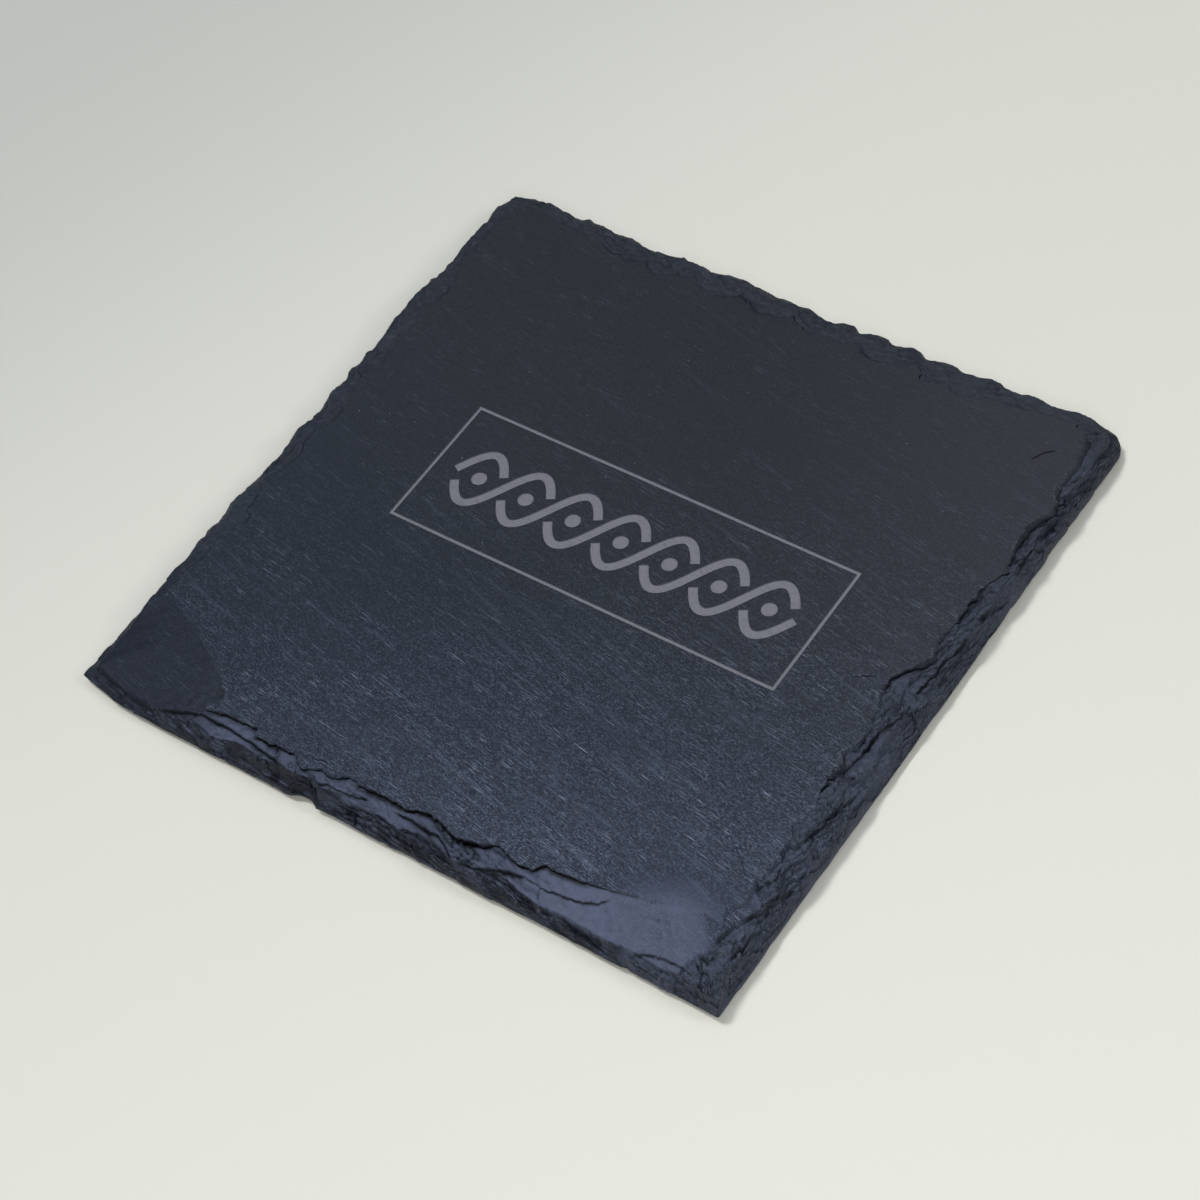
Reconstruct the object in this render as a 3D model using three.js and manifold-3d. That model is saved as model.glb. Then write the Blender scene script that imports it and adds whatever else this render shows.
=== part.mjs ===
// A square slate coaster for a bottle: one hand-dressed slate plate on four felt feet.
// Millimetres, +Z up. The origin is on the table, under the middle of the plate.
import * as THREE from 'three';
import { mergeGeometries, mergeVertices } from 'three/addons/utils/BufferGeometryUtils.js';
import Module from 'manifold-3d';

// Slate plate
const slateSide = 100;
const slateThickness = 4;
const cornerRadii = [1.2, 0.3, 4, 2.6]; // front left, front right, back right, back left
const cornerCuts = [[7.3, 1.5], [0, 0], [0, 0], [4, 4]]; // legs of the piece broken off, after and before that corner
const stationsPerEdge = 56;

// Dressed edge: terraces that climb from the arris, the plate's widest line, to the top face
const arrisHeight = 0.2; // above the underside
const undersideBreak = 0.4; // the underside starts this far inside the arris
const cornerBevel = 2.4; // width of the terraces at a corner
const edgeBevels = [2.2, 4, 4.6, 3.5]; // width at mid edge: front, right, back, left
const bevelCurve = 1.7; // over 1 makes the lower terraces the steeper ones
const riserRun = 0.3; // each riser leans in by this much
const leastLedge = 0.1;
const ledgeSlope = 0.1; // fall of a ledge for each millimetre of its width
const steepestFall = 0.85; // share of the riser below that a ledge may use up
const levelSwell = 0.3; // the terraces rise and dip along the edge
const levelWaves = 9; // of the lowest terrace, round the whole edge

// Chips along the edge: rows of scallops with uneven widths and depths
const terraceChips = [
  { pitch: 8, depth: 0.6 }, // lowest terrace
  { pitch: 9.5, depth: 1.4 },
  { pitch: 12, depth: 1.7 },
];
const driftAngle = 1.5; // unevenness of the chips' widths, in radians
const driftWaves = 5; // round the whole edge
const swellShare = 0.35; // unevenness of the chips' depths
const swellWaves = 7;
const chipMean = 0.5; // taken off, so that the chips leave the mean width of a terrace as it is
const chipPhase = 1.7; // shift from one row of scallops to the next, in radians

// Topmost lamina of the slate, which ends at the highest terrace or a little inside it
const skinThickness = 0.4;
const leastStep = 0.05; // where the lamina is thinnest
const skinChipPitch = 10.5;
const skinChipDepth = 1.8;
const skinChipThreshold = 0.35; // only the deeper part of a scallop shows
const skinChipPhase = 0.9;

// Notches in the arris
const nickPitch = 6.5;
const nickDepths = [0.1, 0.12, 1, 0.8]; // front, right, back, left
const nickThreshold = 0.45;
const nickPhase = 0.4;

// Large flakes: where each is centred along an edge (0 front, 1 right, 2 back, 3 left), its reach to
// either side, and what it does: skin and terraces set back the topmost lamina and the terraces (minus
// brings them out), thinning thins the lamina's step, calm takes away chipping, dip lowers the terraces
// by a share of their height, tilt adds to the highest ledge's slope, and notch is cut into the arris.
const flakes = [
  { edge: 0, place: 0, halfWidth: 22, thinning: 0.25, calm: 1.2, dip: 0.9, tilt: 0.5 }, // scar on the corner
  { edge: 0, place: 0.24, halfWidth: 9, skin: 0.9, thinning: -0.25, calm: 0.4 },
  { edge: 0, place: 0.38, halfWidth: 2, notch: 0.7 },
  { edge: 0, place: 0.51, halfWidth: 9, skin: 1.9, thinning: -0.3, calm: 0.4 },
  { edge: 0, place: 0.63, halfWidth: 6, terraces: -0.8 }, // spur of the top face
  { edge: 0, place: 0.84, halfWidth: 15, terraces: -0.6, thinning: -0.1, calm: 0.9 }, // broad smooth ledge
  { edge: 0, place: 0.95, halfWidth: 11, thinning: 0.47 },
  { edge: 1, place: 0.45, halfWidth: 12, skin: 0.6 },
  { edge: 1, place: 0.74, halfWidth: 26, terraces: -2.2 }, // narrower towards the back
];

// Breaks of the topmost lamina: the scar is what a circle takes off the front left corner, and the front
// edge has lost a long wedge that is widest at the right.
const scarRadius = 37.8;
const scarBeyondX = 4.9; // the circle's middle lies beyond the left edge
const scarBeyondY = 21.8; // and beyond the front edge
const wedgeWidth = 9.7; // at the front right corner
const wedgeSlope = 0.174; // loss of width for each millimetre to the left

// Engraved mark: a two-strand twist with a dot in each eye, inside a plain line border
const engraveDepth = 0.15;
const markShiftX = 2.1; // from the slate's middle to the mark's
const markShiftY = 1.3;
const cutOvershoot = 1; // the cutting bodies stand this far above the top face
const eyeCount = 7;
const eyeLength = 7.6;
const strandSwing = 4.4; // from the band's middle line to a strand's middle line
const strandWidth = 1.3;
const crossingGap = 0.6; // bare slate beside the strand that passes over
const stepsPerEye = 8;
const dotDiameter = 2.2;
const dotSides = 14;
const borderLine = 0.5;
const borderClearX = 3;
const borderClearY = 5;

// Feet
const feltDiameter = 14;
const feltHeight = 0.8;
const feltEdgeClear = 10; // from the slate's side to the rim of a foot
const adhesiveMargin = 0.5; // the film stops this far inside the rim of its foot
const adhesiveThickness = 0.2;
const footSides = 40;

const slateBottom = feltHeight + adhesiveThickness;
const slateTop = slateBottom + slateThickness;
const half = slateSide / 2;
const perimeter = 4 * slateSide;
const bandLength = eyeCount * eyeLength;
const slateLook = { color: '#3d4452', roughness: 0.55, metalness: 0 };
const feltLook = { color: '#26272a', roughness: 0.95, metalness: 0 };
const adhesiveLook = { color: '#d9d2bf', roughness: 0.4, metalness: 0 };
const wasm = await Module();
wasm.setup();

// A station is a place on the square's outline, walked anticlockwise from the front left corner.
function stations() {
  const directions = [[1, 0], [0, 1], [-1, 0], [0, -1]];
  const list = [];
  directions.forEach(([dx, dy], edge) => {
    for (let step = 0; step < stationsPerEdge; step++) {
      const share = step / stationsPerEdge;
      const along = 2 * share - 1;
      const middle = 1 - along ** 4; // 1 at mid edge, 0 at the corners
      const walk = (edge + share) * slateSide;
      list.push({ edge, share, middle, walk, x: half * (dx * along + dy), y: half * (dy * along - dx) });
    }
  });
  return list;
}

// How far a rounded or broken corner lies inside the square, along the line from its middle to the station.
function cornerInset({ edge, share }) {
  const corner = share < 0.5 ? edge : (edge + 1) % 4;
  const radius = cornerRadii[corner];
  const along = Math.abs(2 * share - 1) * half;
  const centre = half - radius;
  const legs = cornerCuts[corner];
  const [own, other] = share < 0.5 ? legs : [legs[1], legs[0]];
  const cut = own && half - half * (half * (own + other) - own * other) / (along * other + half * own);
  if (along <= centre) return Math.max(0, cut);
  const dot = centre * (along + half);
  const square = along ** 2 + half ** 2;
  const root = Math.sqrt(dot ** 2 - square * (2 * centre ** 2 - radius ** 2));
  return Math.max(cut, half - half * (dot + root) / square);
}

// A row of arcs that meet in cusps, from 0 at a cusp to about 1 in the middle of an arc.
function scallop({ walk }, pitch, phase) {
  const turn = 2 * Math.PI * walk / perimeter;
  const count = Math.round(perimeter / pitch);
  const drift = driftAngle * Math.sin(driftWaves * turn + phase);
  const swell = 1 - swellShare + swellShare * Math.sin(swellWaves * turn + 2 * phase);
  return swell * Math.abs(Math.sin(count * turn / 2 + drift + phase));
}

// Sum of the large flakes at a station: each is an arch, highest at its centre.
function flakeReach({ walk }, layer) {
  let reach = 0;
  for (const flake of flakes) {
    const gap = Math.abs(walk - (flake.edge + flake.place) * slateSide);
    const offset = Math.min(gap, perimeter - gap) / flake.halfWidth;
    if (offset < 1) reach += (flake[layer] ?? 0) * (1 - offset ** 2);
  }
  return reach;
}

// Where the line from the plate's middle to the station enters the scar's circle, or 0 if it misses it.
function scarInset({ x, y }) {
  const centreX = -half - scarBeyondX;
  const centreY = -half - scarBeyondY;
  const dot = x * centreX + y * centreY;
  const square = x ** 2 + y ** 2;
  const root = dot ** 2 - square * (centreX ** 2 + centreY ** 2 - scarRadius ** 2);
  if (root <= 0 || dot <= 0) return 0;
  return half - half * (dot - Math.sqrt(root)) / square;
}

// Where that line crosses the straight inner side of the wedge.
function wedgeInset({ x, y }) {
  const reach = wedgeSlope * x - y;
  return reach > 0 ? half - half * (half - wedgeWidth + wedgeSlope * half) / reach : 0;
}

// How far the topmost lamina ends inside the highest terrace.
function skinSetBack(station, rough) {
  const scallops = Math.max(0, scallop(station, skinChipPitch, skinChipPhase) - skinChipThreshold);
  return skinChipDepth * scallops * rough + flakeReach(station, 'skin');
}

// The edge's profile at a station, from the underside up: pairs of inset and height.
function edgeProfile(station) {
  const { edge, middle, walk } = station;
  const turn = 2 * Math.PI * walk / perimeter;
  const rough = Math.max(0, 1 - flakeReach(station, 'calm')); // share of the chipping that the flakes leave
  const nick = Math.max(0, scallop(station, nickPitch, nickPhase) - nickThreshold) * middle;
  const arris = cornerInset(station) + nickDepths[edge] * nick + flakeReach(station, 'notch');
  const bevel = cornerBevel + (edgeBevels[edge] - cornerBevel) * middle + flakeReach(station, 'terraces');
  const arrisLevel = slateBottom + arrisHeight;
  const topLevel = slateTop - skinThickness;
  const profile = [[arris + undersideBreak, slateBottom], [arris, arrisLevel]];
  terraceChips.forEach(({ pitch, depth }, index) => {
    const terrace = index + 1;
    const share = terrace / terraceChips.length;
    const highest = terrace === terraceChips.length;
    const [inset, height] = profile.at(-1);
    const chips = rough * depth * (scallop(station, pitch, chipPhase * terrace) - chipMean);
    const setBack = highest ? skinSetBack(station, rough) : 0;
    const broken = highest ? Math.max(scarInset(station), wedgeInset(station)) : 0;
    const end = Math.max(broken, arris + bevel * share ** bevelCurve + chips + setBack);
    const swell = rough * levelSwell * Math.sin(levelWaves * terrace * turn + chipPhase * terrace);
    const climb = (topLevel - arrisLevel) * share;
    const level = highest
      ? Math.min(topLevel + flakeReach(station, 'thinning'), slateTop - leastStep)
      : arrisLevel + climb * (1 - flakeReach(station, 'dip')) + swell;
    const slope = ledgeSlope + (highest ? flakeReach(station, 'tilt') : 0);
    const head = inset + riserRun;
    const ledge = Math.max(leastLedge, end - head);
    const most = steepestFall * (level - height);
    const fall = most * (1 - Math.exp(-slope * ledge / most)); // follows the slope, then eases off
    profile.push([head, level - fall], [head + ledge, level]);
  });
  profile.push([profile.at(-1)[0] + riserRun, slateTop]);
  return profile;
}

// The plate without its engraving: rings of stations carried up the profile, closed by two fans. Each
// four-sided face between two rings is split along its shorter diagonal.
function dressedSlate() {
  const ring = stations();
  const profiles = ring.map(edgeProfile);
  const count = ring.length;
  const levels = profiles[0].length;
  const positions = [];
  for (let level = 0; level < levels; level++) {
    ring.forEach(({ x, y }, place) => {
      const [inset, height] = profiles[place][level];
      const scale = 1 - inset / half;
      positions.push(x * scale, y * scale, height);
    });
  }
  positions.push(0, 0, slateBottom, 0, 0, slateTop);
  const bottomMiddle = levels * count;
  const topMiddle = bottomMiddle + 1;
  const lastRing = (levels - 1) * count;
  const point = (index) => new THREE.Vector3().fromArray(positions, 3 * index);
  const gap = (from, to) => point(from).distanceTo(point(to));
  const faces = [];
  for (let place = 0; place < count; place++) {
    const next = (place + 1) % count;
    for (let level = 0; level < levels - 1; level++) {
      const [start, end] = [level * count + place, level * count + next];
      const [startUp, endUp] = [start + count, end + count];
      if (gap(start, endUp) < gap(end, startUp)) faces.push(start, end, endUp, start, endUp, startUp);
      else faces.push(start, end, startUp, end, endUp, startUp);
    }
    faces.push(bottomMiddle, next, place);
    faces.push(topMiddle, lastRing + place, lastRing + next);
  }
  const geometry = new THREE.BufferGeometry();
  geometry.setAttribute('position', new THREE.Float32BufferAttribute(positions, 3));
  geometry.setIndex(faces);
  return geometry;
}

// A stretch of a strand of the twist between two places along the band, as a closed outline.
function strandShape(side, start, end) {
  const steps = Math.ceil((end - start) / eyeLength * stepsPerEye);
  const upper = [];
  const lower = [];
  for (let step = 0; step <= steps; step++) {
    const along = start + (end - start) * step / steps;
    const angle = Math.PI * along / eyeLength;
    const slope = side * strandSwing * Math.PI / eyeLength * Math.cos(angle);
    const across = new THREE.Vector2(-slope, 1).setLength(strandWidth / 2);
    const middle = new THREE.Vector2(along - bandLength / 2, side * strandSwing * Math.sin(angle));
    upper.push(middle.clone().add(across));
    lower.unshift(middle.clone().sub(across));
  }
  return new THREE.Shape([...lower, ...upper]);
}

// The strands cross at each end of an eye. The one that passes under stops short on both sides.
function twistShapes() {
  const lean = Math.atan(Math.PI * strandSwing / eyeLength);
  const width = strandWidth / 2 * (1 + Math.abs(Math.cos(2 * lean)));
  const stop = (width + crossingGap) / Math.sin(2 * lean) * Math.cos(lean);
  const shapes = [];
  for (const side of [1, -1]) {
    let start = side > 0 ? 0 : stop;
    for (let crossing = 1; crossing <= eyeCount; crossing++) {
      const under = (crossing % 2 === 1) === (side > 0);
      if (!under && crossing < eyeCount) continue;
      const end = crossing * eyeLength - (under ? stop : 0);
      shapes.push(strandShape(side, start, end));
      start = crossing * eyeLength + stop;
    }
  }
  return shapes;
}

function dotShapes() {
  const shapes = [];
  for (let eye = 0; eye < eyeCount; eye++) {
    const corners = [];
    for (let corner = 0; corner < dotSides; corner++) {
      const angle = 2 * Math.PI * corner / dotSides;
      const x = (eye + 0.5) * eyeLength - bandLength / 2 + dotDiameter / 2 * Math.cos(angle);
      corners.push(new THREE.Vector2(x, dotDiameter / 2 * Math.sin(angle)));
    }
    shapes.push(new THREE.Shape(corners));
  }
  return shapes;
}

function borderShape() {
  const x = bandLength / 2 + borderClearX;
  const y = strandSwing + strandWidth / 2 + borderClearY;
  const rectangle = (grow) => [
    new THREE.Vector2(-x - grow, -y - grow),
    new THREE.Vector2(x + grow, -y - grow),
    new THREE.Vector2(x + grow, y + grow),
    new THREE.Vector2(-x - grow, y + grow),
  ];
  const shape = new THREE.Shape(rectangle(borderLine));
  shape.holes.push(new THREE.Path(rectangle(0)));
  return shape;
}

function solid(geometry) {
  const bare = geometry.clone();
  bare.deleteAttribute('normal');
  bare.deleteAttribute('uv');
  const merged = mergeVertices(bare);
  return new wasm.Manifold(new wasm.Mesh({
    numProp: 3,
    vertProperties: new Float32Array(merged.attributes.position.array),
    triVerts: new Uint32Array(merged.index.array),
  }));
}

function geometryOf(body) {
  const mesh = body.getMesh();
  const geometry = new THREE.BufferGeometry();
  geometry.setAttribute('position', new THREE.BufferAttribute(mesh.vertProperties, mesh.numProp));
  geometry.setIndex(new THREE.BufferAttribute(mesh.triVerts, 1));
  geometry.computeVertexNormals();
  return geometry;
}

function slatePlate() {
  const outlines = [borderShape(), ...twistShapes(), ...dotShapes()];
  const depth = engraveDepth + cutOvershoot;
  const cuts = outlines.map((shape) => new THREE.ExtrudeGeometry(shape, { depth, bevelEnabled: false }));
  const engraving = mergeGeometries(cuts).translate(markShiftX, markShiftY, slateTop - engraveDepth);
  const geometry = geometryOf(solid(dressedSlate()).subtract(solid(engraving)));
  const mesh = new THREE.Mesh(geometry, new THREE.MeshStandardMaterial(slateLook));
  mesh.name = 'slate_plate';
  return mesh;
}

// A flat round disc standing on the given height.
function disc(name, diameter, thickness, bottom, look) {
  const geometry = new THREE.CylinderGeometry(diameter / 2, diameter / 2, thickness, footSides);
  geometry.rotateX(Math.PI / 2);
  const mesh = new THREE.Mesh(geometry, new THREE.MeshStandardMaterial(look));
  mesh.name = name;
  mesh.position.z = bottom + thickness / 2;
  return mesh;
}

function foot(place, signX, signY) {
  const group = new THREE.Group();
  const reach = half - feltEdgeClear - feltDiameter / 2;
  const filmDiameter = feltDiameter - 2 * adhesiveMargin;
  group.position.set(signX * reach, signY * reach, 0);
  group.add(disc(`felt_foot_${place}`, feltDiameter, feltHeight, 0, feltLook));
  group.add(disc(`adhesive_disc_${place}`, filmDiameter, adhesiveThickness, feltHeight, adhesiveLook));
  return group;
}

const coaster = new THREE.Group();
coaster.add(slatePlate());
coaster.add(foot('front_left', -1, -1));
coaster.add(foot('front_right', 1, -1));
coaster.add(foot('back_right', 1, 1));
coaster.add(foot('back_left', -1, 1));

export default coaster;
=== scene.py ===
import math

import bpy
import numpy as np
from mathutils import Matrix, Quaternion, Vector
from mathutils.geometry import delaunay_2d_cdt


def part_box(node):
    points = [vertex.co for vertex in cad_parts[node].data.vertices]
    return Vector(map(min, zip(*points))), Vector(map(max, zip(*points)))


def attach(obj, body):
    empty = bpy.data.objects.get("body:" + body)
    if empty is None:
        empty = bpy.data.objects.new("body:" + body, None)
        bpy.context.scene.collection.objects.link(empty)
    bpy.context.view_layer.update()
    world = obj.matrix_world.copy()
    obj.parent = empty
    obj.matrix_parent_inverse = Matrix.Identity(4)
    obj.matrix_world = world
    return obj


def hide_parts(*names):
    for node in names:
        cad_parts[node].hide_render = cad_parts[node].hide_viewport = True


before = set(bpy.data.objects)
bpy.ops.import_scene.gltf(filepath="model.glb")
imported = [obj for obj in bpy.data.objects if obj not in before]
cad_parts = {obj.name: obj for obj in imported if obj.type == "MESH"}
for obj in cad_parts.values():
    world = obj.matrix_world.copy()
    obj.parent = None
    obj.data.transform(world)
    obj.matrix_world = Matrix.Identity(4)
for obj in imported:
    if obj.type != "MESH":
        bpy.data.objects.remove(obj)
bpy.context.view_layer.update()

# A square slate coaster on four felt feet. The dictionaries are in millimetres, the meshes in metres.
mm = 0.001
tiny = 1e-9
slateLow, slateHigh = (np.array(corner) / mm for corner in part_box("slate_plate"))
half = float(slateHigh[0] - slateLow[0]) / 2
side = 2 * half
perimeter = 4 * side
slateBottom, slateTop = float(slateLow[2]), float(slateHigh[2])
print("frame loaded: slate", round(side, 2), "mm wide, top at", round(slateTop, 2))


# noise helpers

tableSize = 4096  # random numbers in a noise table, a power of two
cellPrimes = np.array([73856093, 19349663, 83492791])


# Values cut off at 0 and 1.
def unit(values):
    return np.clip(values, 0, 1)


# An arch: 1 less the square of the offset, nothing beyond an offset of 1.
def arch(offset):
    return np.clip(1 - offset**2, 0, None)


# A bell curve of the given centre and width.
def bell(values, centre, width):
    return np.exp(-(((values - centre) / width) ** 2))


# A line of painted shade: full near its middle, fading out at about its width.
def paintedShadeLine(away, width):
    return unit(1.2 - np.abs(away) / width)


# A smooth step from 0 to 1: three times the square less twice the cube.
def smoothStep(share):
    return share * share * (3 - 2 * share)


# The place of a grid cell in a noise table: its numbers times large primes, mixed bit by bit.
def tablePlace(cell):
    return np.bitwise_xor.reduce(cell * cellPrimes[: cell.shape[-1]], axis=-1) & (tableSize - 1)


# Value noise in space: random numbers at the corners of cubes, blended smoothly between them, -1 to 1.
def spaceNoise(points, size, seed):
    table = np.random.default_rng(seed).uniform(-1, 1, tableSize)
    scaled = points / size
    cell = np.floor(scaled).astype(np.int64)
    blend = smoothStep(scaled - cell)
    total = np.zeros(points.shape[:-1])
    for corner in np.ndindex(2, 2, 2):
        weight = np.where(np.array(corner) == 1, blend, 1 - blend).prod(axis=-1)
        total += weight * table[tablePlace(cell + np.array(corner))]
    return total


# The same along the outline: random numbers at even knots, blended smoothly, closed at the start.
def walkNoise(walk, size, seed):
    count = int(round(perimeter / size))
    table = np.random.default_rng(seed).uniform(-1, 1, count)
    place = walk / perimeter * count
    knot = np.floor(place).astype(np.int64)
    blend = smoothStep(place - knot)
    return (1 - blend) * table[knot % count] + blend * table[(knot + 1) % count]


# The way along the outline from one place to another, the shorter way round.
def outlineGap(walk, place):
    gap = np.abs(walk - place)
    return np.minimum(gap, perimeter - gap)


bite = {"halfWidth": (0.3, 1.1), "rarity": 1.6}  # range in pitches, and how much rarer deep ones are


# Broken bites: half ellipses of random place, width and depth along the outline, the deepest one wins.
def bites(walk, pitch, depth, seed):
    draw = np.random.default_rng(seed)
    count = int(round(perimeter / pitch))
    place = draw.uniform(0, perimeter, count)
    halfWidth = pitch * draw.uniform(*bite["halfWidth"], count)
    deep = depth * draw.uniform(0, 1, count) ** bite["rarity"]
    return (deep * np.sqrt(arch(outlineGap(walk[:, None], place) / halfWidth))).max(axis=1)


facet = {"height": 0.6, "slope": 0.7}


# Facets: the plane is divided among scattered sites, one to a cell of a grid. Each site has a random height
# and slope, and a point takes the plane of its nearest site. The second result is how much further the
# next site is, which is nothing on a border between two facets.
def facetNoise(u, v, size, seed):
    draw = np.random.default_rng(seed)
    shift = draw.uniform(0, 1, (tableSize, 2))
    height = draw.uniform(-1, 1, tableSize)
    slope = draw.uniform(-1, 1, (tableSize, 2))
    scaled = np.stack([u, v], axis=-1) / size
    cell = np.floor(scaled).astype(np.int64)
    nearest, second = np.full(u.shape, np.inf), np.full(u.shape, np.inf)
    value = np.zeros(u.shape)
    for neighbour in np.ndindex(3, 3):
        at = cell + np.array(neighbour) - 1
        key = tablePlace(at)
        away = scaled - at - shift[key]
        gap = (away**2).sum(axis=-1)
        plane = facet["height"] * height[key] + facet["slope"] * (away * slope[key]).sum(axis=-1)
        value = np.where(gap < nearest, plane, value)
        second = np.minimum(second, np.maximum(gap, nearest))
        nearest = np.minimum(nearest, gap)
    return value, size * (np.sqrt(second) - np.sqrt(nearest))


# slate plate

slate = {
    "rows": 40,  # points up the bevel
    "cornerRadii": (1.2, 0.3, 4.0, 2.6),  # front left, front right, back right, back left
    "cornerCuts": ((7.3, 1.5), (0.0, 0.0), (0.0, 0.0), (4.0, 4.0)),  # legs of the piece broken off, after and before it
    "arrisHeight": 0.2,
    "arrisFoot": 0.05,  # width of the arris
    "undersideBreak": 0.4,
    "cornerBevel": 2.4,
    "bevelCurve": 1.7,
    "terraceChips": ((8.0, 0.6, 21), (9.5, 1.4, 22), (12.0, 1.7, 23)),  # pitch, depth and seed, lowest first
    "chipWaver": (0.7, 3.0),  # how far the chips waver sideways, and over which length
    "drift": (1.5, 5),  # unevenness of the chips' widths, and its waves round the edge
    "swell": (0.35, 7),  # the same of their depths
    "chipMean": 0.5,
    "chipPhase": 1.7,
    "levelSwell": (0.3, 9),
    "shoulder": 0.2,  # from the second terrace's end to the ledge
    "ledgeSlope": 0.1,
    "steepestFall": 0.85,
    "leastRun": 0.02,  # between the knots of the base line
    "skinThickness": 0.4,
    "leastSkin": 0.03,
    "skinChips": (10.5, 1.8, 0.35, 0.9, 29),  # pitch, depth, threshold, phase, seed
    "skinBites": ((3.2, 0.9, 50), (1.4, 0.45, 51), (0.6, 0.2, 52)),  # pitch, depth and seed
    "calmBites": 0.15,  # share of them left on calm stretches
    "nicks": (6.5, 0.45, 0.4),  # pitch, threshold, phase
    "fineNicks": ((1.3, 0.10, 11), (3.4, 0.22, 12)),  # pitch, depth and seed
    "notches": ((38.0, 2.0, 0.7),),  # place, reach and depth in the outline
    "wallRise": 0.3,  # the wall lies this far below the ledge
    "calmWall": (0.25, 0.8),  # least roughness of the wall, and what it gains away from the scar
    "scarWalk": (25, 350),  # the scar ends and starts at these places
    "arrisFade": 0.1,  # the broken relief grows from the arris over this width
    "liftSlack": 0.05,  # the most it rises past the base line's ends
    "lumps": ((7.0, 0.6, 120), (2.6, 0.2, 121), (0.8, 0.2, 122), (0.45, 0.12, 123)),  # size, height and seed
    "facets": ((4.6, 0.75), (1.9, 0.45), (0.8, 0.3)),  # size and height of the flat broken planes
    "facetSeeds": (150, 155, 160, 165),  # first seeds of the waver along and across, the planes and the cracks
    "facetWaver": (0.2, 0.6),  # height and size of their borders' waver, for their size
    "facetSplit": 0.14,  # width of the cracks between them
    "splitFacets": 2,  # the sizes of facets that have such cracks
    "layers": (0.22, 0.6, 60, 87),  # least and greatest thickness of the cleavage layers, count and seed
    "layerClimb": (0.6, 0.34),  # where a layer starts to climb to the next, and over which share of it
    "layerTurn": (0.35, 0.94),  # shares of the layers' fall along the edge and inwards
    "layerWaver": (0.12, 9.0, 140),  # height, size and seed
    "layerFoot": (0.56, 0.09, 0.07),  # place and width of the groove at a layer's foot, and its depth
    "layerFace": (0.78, 0.2),  # place and reach of a layer's broken face
    "layerEdges": ((0.92, 0.15), (0.0, 0.12)),  # place and width of the painted highlights on the layers' edges
    "rubble": ((0.9, 0.13, 200), (0.4, 0.08, 210)),  # size, depth and first seed
    "rubbleShares": (1, 1, 0.6),  # along x, y and z
    "rubbleMean": 0.6,
    "relief": ((0.03, 13.0, 301), (0.012, 3.7, 302)),  # height, size and seed on the split face
    "lowReach": 0.9,  # height of the painted shade at the foot of the broken face
    "freshest": (1.1, 1.4),  # of a bright ledge, and the most
    "breakage": (0.7, 0.45, 0.8),  # of a dull ledge, less this on a bright one, and more on the layers' faces
    "brightLoss": 0.7,  # of breakage on the painted highlights
    "backWalk": (190, 390),  # between these places the painted shade lines end before the corners
    "cornerFade": 0.3,
    "smoothAngle": 32,
}
arrisLevel = slateBottom + slate["arrisHeight"]

# What differs on the front, right, back and left.
edges = {
    "stations": (600, 520, 330, 350),
    "bevels": (2.2, 4.0, 4.6, 3.5),
    "nickDepths": (0.1, 0.12, 1.0, 0.8),
    "nickShares": (0.8, 0.5, 2.2, 2.6),
    "facetStretch": (3.4, 3.4, 2.4, 2.4),  # length of the broken planes for their width
    "facetLean": (0.3, 0.35, 0.2, 0.2),  # sine of their angle to the edge
    "layerScale": (1.5, 1.2, 1.0, 1.0),
    "layerTilt": (0.35, 0.42, 0.1, 0.1),  # the fall of the layers
    "layered": (0.95, 0.8, 0.5, 0.5),  # how strongly the bevel keeps to the layers
    "loose": (0.55, 0.9, 0.3, 0.3),  # how broken the upper ledge is
    "wallLoose": (1.0, 0.9, 0.3, 0.35),  # and the wall below it
    "skinThin": (0.0, 0.28, 0.12, 0.1),
    "rolled": (0.0, 0.82, 0.8, 0.8),  # how often the top face rolls over instead of ending in a step
    "crevices": (0.55, 0.06, 0.12, 0.06),  # undercut of the top lamina
    "splits": (0.9, 0.8, 0.2, 0.2),  # how dark the painted shade in the cracks between the broken planes is
    "feet": (1.0, 0.95, 0.64, 0.52),  # and in the grooves at the feet of the layers
    "lips": (0.3, 0.5, 0.1, 0.15),  # how dusty the edge of the top face is
    "balds": (1.0, 0.8, 0.4, 0.4),  # how far the bevel has lost the grain of the top face
    "underShade": (0.85, 0.12, 0.4, 0.4),  # how dark the painted shade at the foot of the broken face is
    "wallPaintedLight": (0.78, 0.12, 0.15, 0.15),  # and the painted shade over the whole wall between its layers' edges, which also sets the painted highlights there
    "wallFade": (0.35, -0.4, 0.35, 0.35),  # how much duller the wall is than the ledge above it
    "tones": (0.8, 0.5, 0.1, 0.05),  # how bright the split ledges are: the paler colour of a fresh split, and painted sheen strongest on the front
    "darkCorners": (0.1, 0.1, 0.45, 0.1),  # how far from the back corners the painted shade lines start
}

# Patches on the rim: size and seed of a noise, and the mean and gain that turn it into a share.
patches = {
    "cornerLine": (2.5, 148, 0.9, 1.2),
    "layered": (4.0, 141, 0.8, 0.8),
    "foot": (1.7, 147, 0.45, 1.6),
    "low": (1.6, 146, 0.6, 1.0),
    "shine": (1.2, 180, 0.5, 1.8),
    "shadow": (1.6, 181, 0.9, 0.9),
    "gape": (2.2, 172, 0.5, 1.5),
    "lip": (2.6, 99, 0.3, 1.2),
}
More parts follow.
